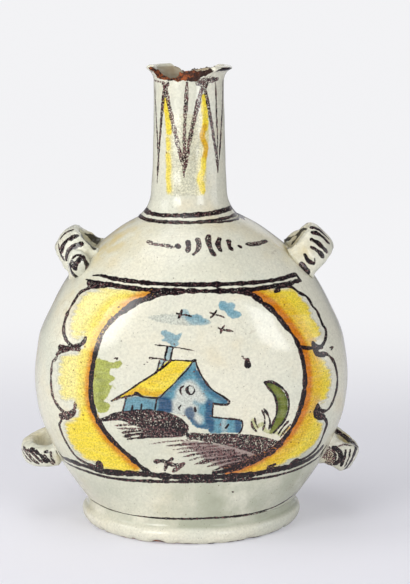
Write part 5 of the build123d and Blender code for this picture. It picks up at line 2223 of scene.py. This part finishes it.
BODY_SOIL_AND_SHADE: dict[str, SoilAndShade] = {
    "by_upper_left_loop": SoilAndShade((99, 251), 10.0, 0.95),
    "left_shoulder": SoilAndShade((112, 240), 18.0, 0.85),
    "left_shoulder_edge": SoilAndShade((120, 228), 11.0, 0.8),
    "left_upper_side": SoilAndShade((74, 296), 14.0, 0.4),
    "by_upper_right_loop": SoilAndShade((285, 249), 9.0, 0.85),
    "right_shoulder": SoilAndShade((262, 236), 11.0, 0.3),
    "below_neck": SoilAndShade((226, 222), 9.0, 0.12),
    "by_lower_left_loop": SoilAndShade((58, 441), 8.0, 0.3),
    "by_lower_right_loop": SoilAndShade((330, 441), 9.0, 0.35),
    # The green patches below: thick green glaze and painted shade, darkening the base where the belly turns
    # under, and a little of the shoulder's front.
    "base_middle": SoilAndShade((182, 503), 20.0, 0.65, True),
    "base_right": SoilAndShade((228, 503), 24.0, 1.0, True),
    "base_far_right": SoilAndShade((290, 484), 20.0, 0.75, True),
    "shoulder_front": SoilAndShade((222, 262), 14.0, 0.22, True),
    "base_front": SoilAndShade((228, 497), 24.0, 0.85, True),
    "base_left": SoilAndShade((125, 492), 34.0, 0.42, True),
    "base_right_rim": SoilAndShade((298, 473), 14.0, 0.75, True),
}

# The eye patches are painted shade with stain, in the hollows under the upper straps.
LOOP_SOIL_AND_SHADE: dict[str, dict[str, SoilAndShade]] = {
    "upper_left_loop": {"eye_stain_and_shade": SoilAndShade((96, 240), 7.0, 0.9), "foot": SoilAndShade((86, 258), 5.0, 0.55)},
    "upper_right_loop": {"pale_side": SoilAndShade((299, 251), 5.5, 0.75), "eye_stain_and_shade": SoilAndShade((291, 243), 5.0, 0.5)},
    "lower_left_loop": {"back_leg": SoilAndShade((40, 431), 9.0, 0.62), "foot": SoilAndShade((60, 457), 3.5, 0.6)},
    "lower_right_loop": {"back_leg": SoilAndShade((345, 436), 8.0, 0.85), "foot": SoilAndShade((326, 458), 5.0, 0.55)},
}


@dataclass(frozen=True)
class Painting:
    """Everything painted on the flask, laid through the photograph's view."""

    camera: StudioCamera
    step: float = 2.0
    strap_spread: float = 1.25
    lump_spread: float = 1.3

    def lay(self, flask: "Flask") -> None:
        """Paints the body, the foot, the neck and the straps.

        The back wasn't photographed, so it carries the same bands, border and panels in the same hand,
        with open glaze inside the border.

        Args:
            flask: The flask, with its grids laid.
        """
        parts = flask.body.parts
        bands = [SHOULDER_STROKES, NECK_LINES, BODY_BANDS]
        framed = [PANEL_WASHES, BELT_LINES, MEDALLION_BORDER, SCALLOPS]
        picture = [LANDSCAPE_WASHES, LANDSCAPE_GROUND, LANDSCAPE_LINES, SPECKS]
        ends = [parts["shoulder"], parts["base"]]
        self.put(flask.body, [parts["belly_front"], *ends], framed + picture + bands)
        self.put(flask.body, [parts["belly_back"], *ends], framed + bands, turned=True)
        for turned in (False, True):
            self.put(flask.neck, [flask.neck.grid_made], [NECK_WASHES, NECK_STROKES, NECK_LINES], turned)
        stripes = (UPPER_LEFT_STRIPES, UPPER_RIGHT_STRIPES, LOWER_LEFT_STRIPES, LOWER_RIGHT_STRIPES)
        for strap, marks in zip(flask.straps, stripes):
            strap.painted.spread = self.strap_spread
            self.put(strap, [strap.painted], [marks])
            self.soil_and_shade(strap, [strap.painted], LOOP_SOIL_AND_SHADE[strap.name])
        flask.lump.painted.spread = self.lump_spread
        self.put(flask.lump, [flask.lump.painted], [UPPER_LEFT_LUMP])
        self.soil_and_shade(flask.body, list(parts.values()), BODY_SOIL_AND_SHADE)

    def put(self, surface: Surface, grids: list[PaintedGrid], groups: list[Marks],
            turned: bool = False) -> None:
        """Casts marks onto one surface and lays them on its grids.

        Args:
            surface: The surface.
            grids: Grids on it.
            groups: Groups of strokes and washes, in their order.
            turned: Whether they are painted on the back.
        """
        marks = [mark for group in groups for mark in group.values()]
        drawn = [bend_through(mark.points, self.step, closed=PaintedGrid.is_area(mark)) for mark in marks]
        spread = surface.cast(np.vstack(drawn), self.camera, turned)
        ends = np.cumsum([len(part) for part in drawn])[:-1]
        for mark, uv in zip(marks, np.split(spread, ends)):
            for grid in grids:
                grid.lay(mark, uv)

    def soil_and_shade(self, surface: Surface, grids: list[PaintedGrid], patches: dict[str, SoilAndShade]) -> None:
        """Lays round patches of stain, green glaze and painted shade, which fade outwards.

        Args:
            surface: The surface.
            grids: Grids on it.
            patches: The stains.
        """
        middles = surface.cast(np.array([patch.middle for patch in patches.values()], float), self.camera)
        for patch, (around, along) in zip(patches.values(), middles):
            spot = surface.place(np.array(around), np.array(along))
            for grid in grids:
                off = np.linalg.norm(grid.spots - spot, axis=-1) / patch.reach
                layer = grid.green if patch.green else grid.stain_and_shade
                np.maximum(layer, patch.strength * np.exp(-off ** 2), out=layer)


# The whole flask


@dataclass
class Flask:
    """All pieces of the flask, built, painted and dressed in order."""

    camera: StudioCamera
    body: Body = field(default_factory=Body)
    foot: FootRing = field(default_factory=FootRing)
    neck: Neck = field(default_factory=Neck)

    def __post_init__(self) -> None:
        """Sets up the four straps, each with its own place and shape."""
        self.straps = (
            StrapLoop("upper_left_loop", self.body, side=-1, height=132.2, tilt=40.0, turn=3.0, rise=12.0,
                      width=15.4, front_drop=1.6, front_spread=1.0, front_bulge=0.6, seed=41),
            StrapLoop("upper_right_loop", self.body, side=1, height=131.2, tilt=42.0, turn=3.0, rise=14.4,
                      width=16.0, front_drop=0.6, front_spread=0.3, front_bulge=0.2, seed=43),
            StrapLoop("lower_left_loop", self.body, side=-1, height=35.8, tilt=-8.0, turn=9.0, rise=14.6,
                      width=10.4, seed=45),
            StrapLoop("lower_right_loop", self.body, side=1, height=37.3, tilt=-31.0, turn=1.0, rise=13.0,
                      width=13.8, seed=47),
        )
        self.lump = PressedEnd(
            "upper_left_pressed_end", "upper_left_loop", middle=(-54.2, -18.6, 130.2), reach=(5.6, 5.8, 7.6),
            lean=-14.0)

    def build(self) -> list[bpy.types.Object]:
        """Lays the grids, paints them, makes the meshes and gives them their finishes.

        Returns:
            Every piece.
        """
        self.body.lay_grids()
        self.neck.lay_grids(self.camera)
        for strap in self.straps:
            strap.lay_grids()
        self.lump.lay_grids()
        Painting(self.camera).lay(self)
        pieces = self.body.build() + self.foot.build() + self.neck.build()
        for strap in (*self.straps, self.lump):
            pieces += strap.build()
        glaze = TinGlaze("painted_tin_glaze").make()
        plain = TinGlaze("plain_tin_glaze", painted=False).make()
        for piece in pieces:
            piece.data.materials.append(plain if piece.name == "body_lining" else glaze)
        return pieces


def main() -> None:
    """Builds the camera, the studio and the flask."""
    logging.basicConfig(level=logging.INFO, format="%(name)s: %(message)s")
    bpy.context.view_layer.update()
    camera = StudioCamera()
    camera.build()
    Studio().build()
    for piece in Flask(camera).build():
        mesh = piece.data
        LOG.info("%s has %d points and %d faces", piece.name, len(mesh.vertices), len(mesh.polygons))


if __name__ == "__main__":
    main()
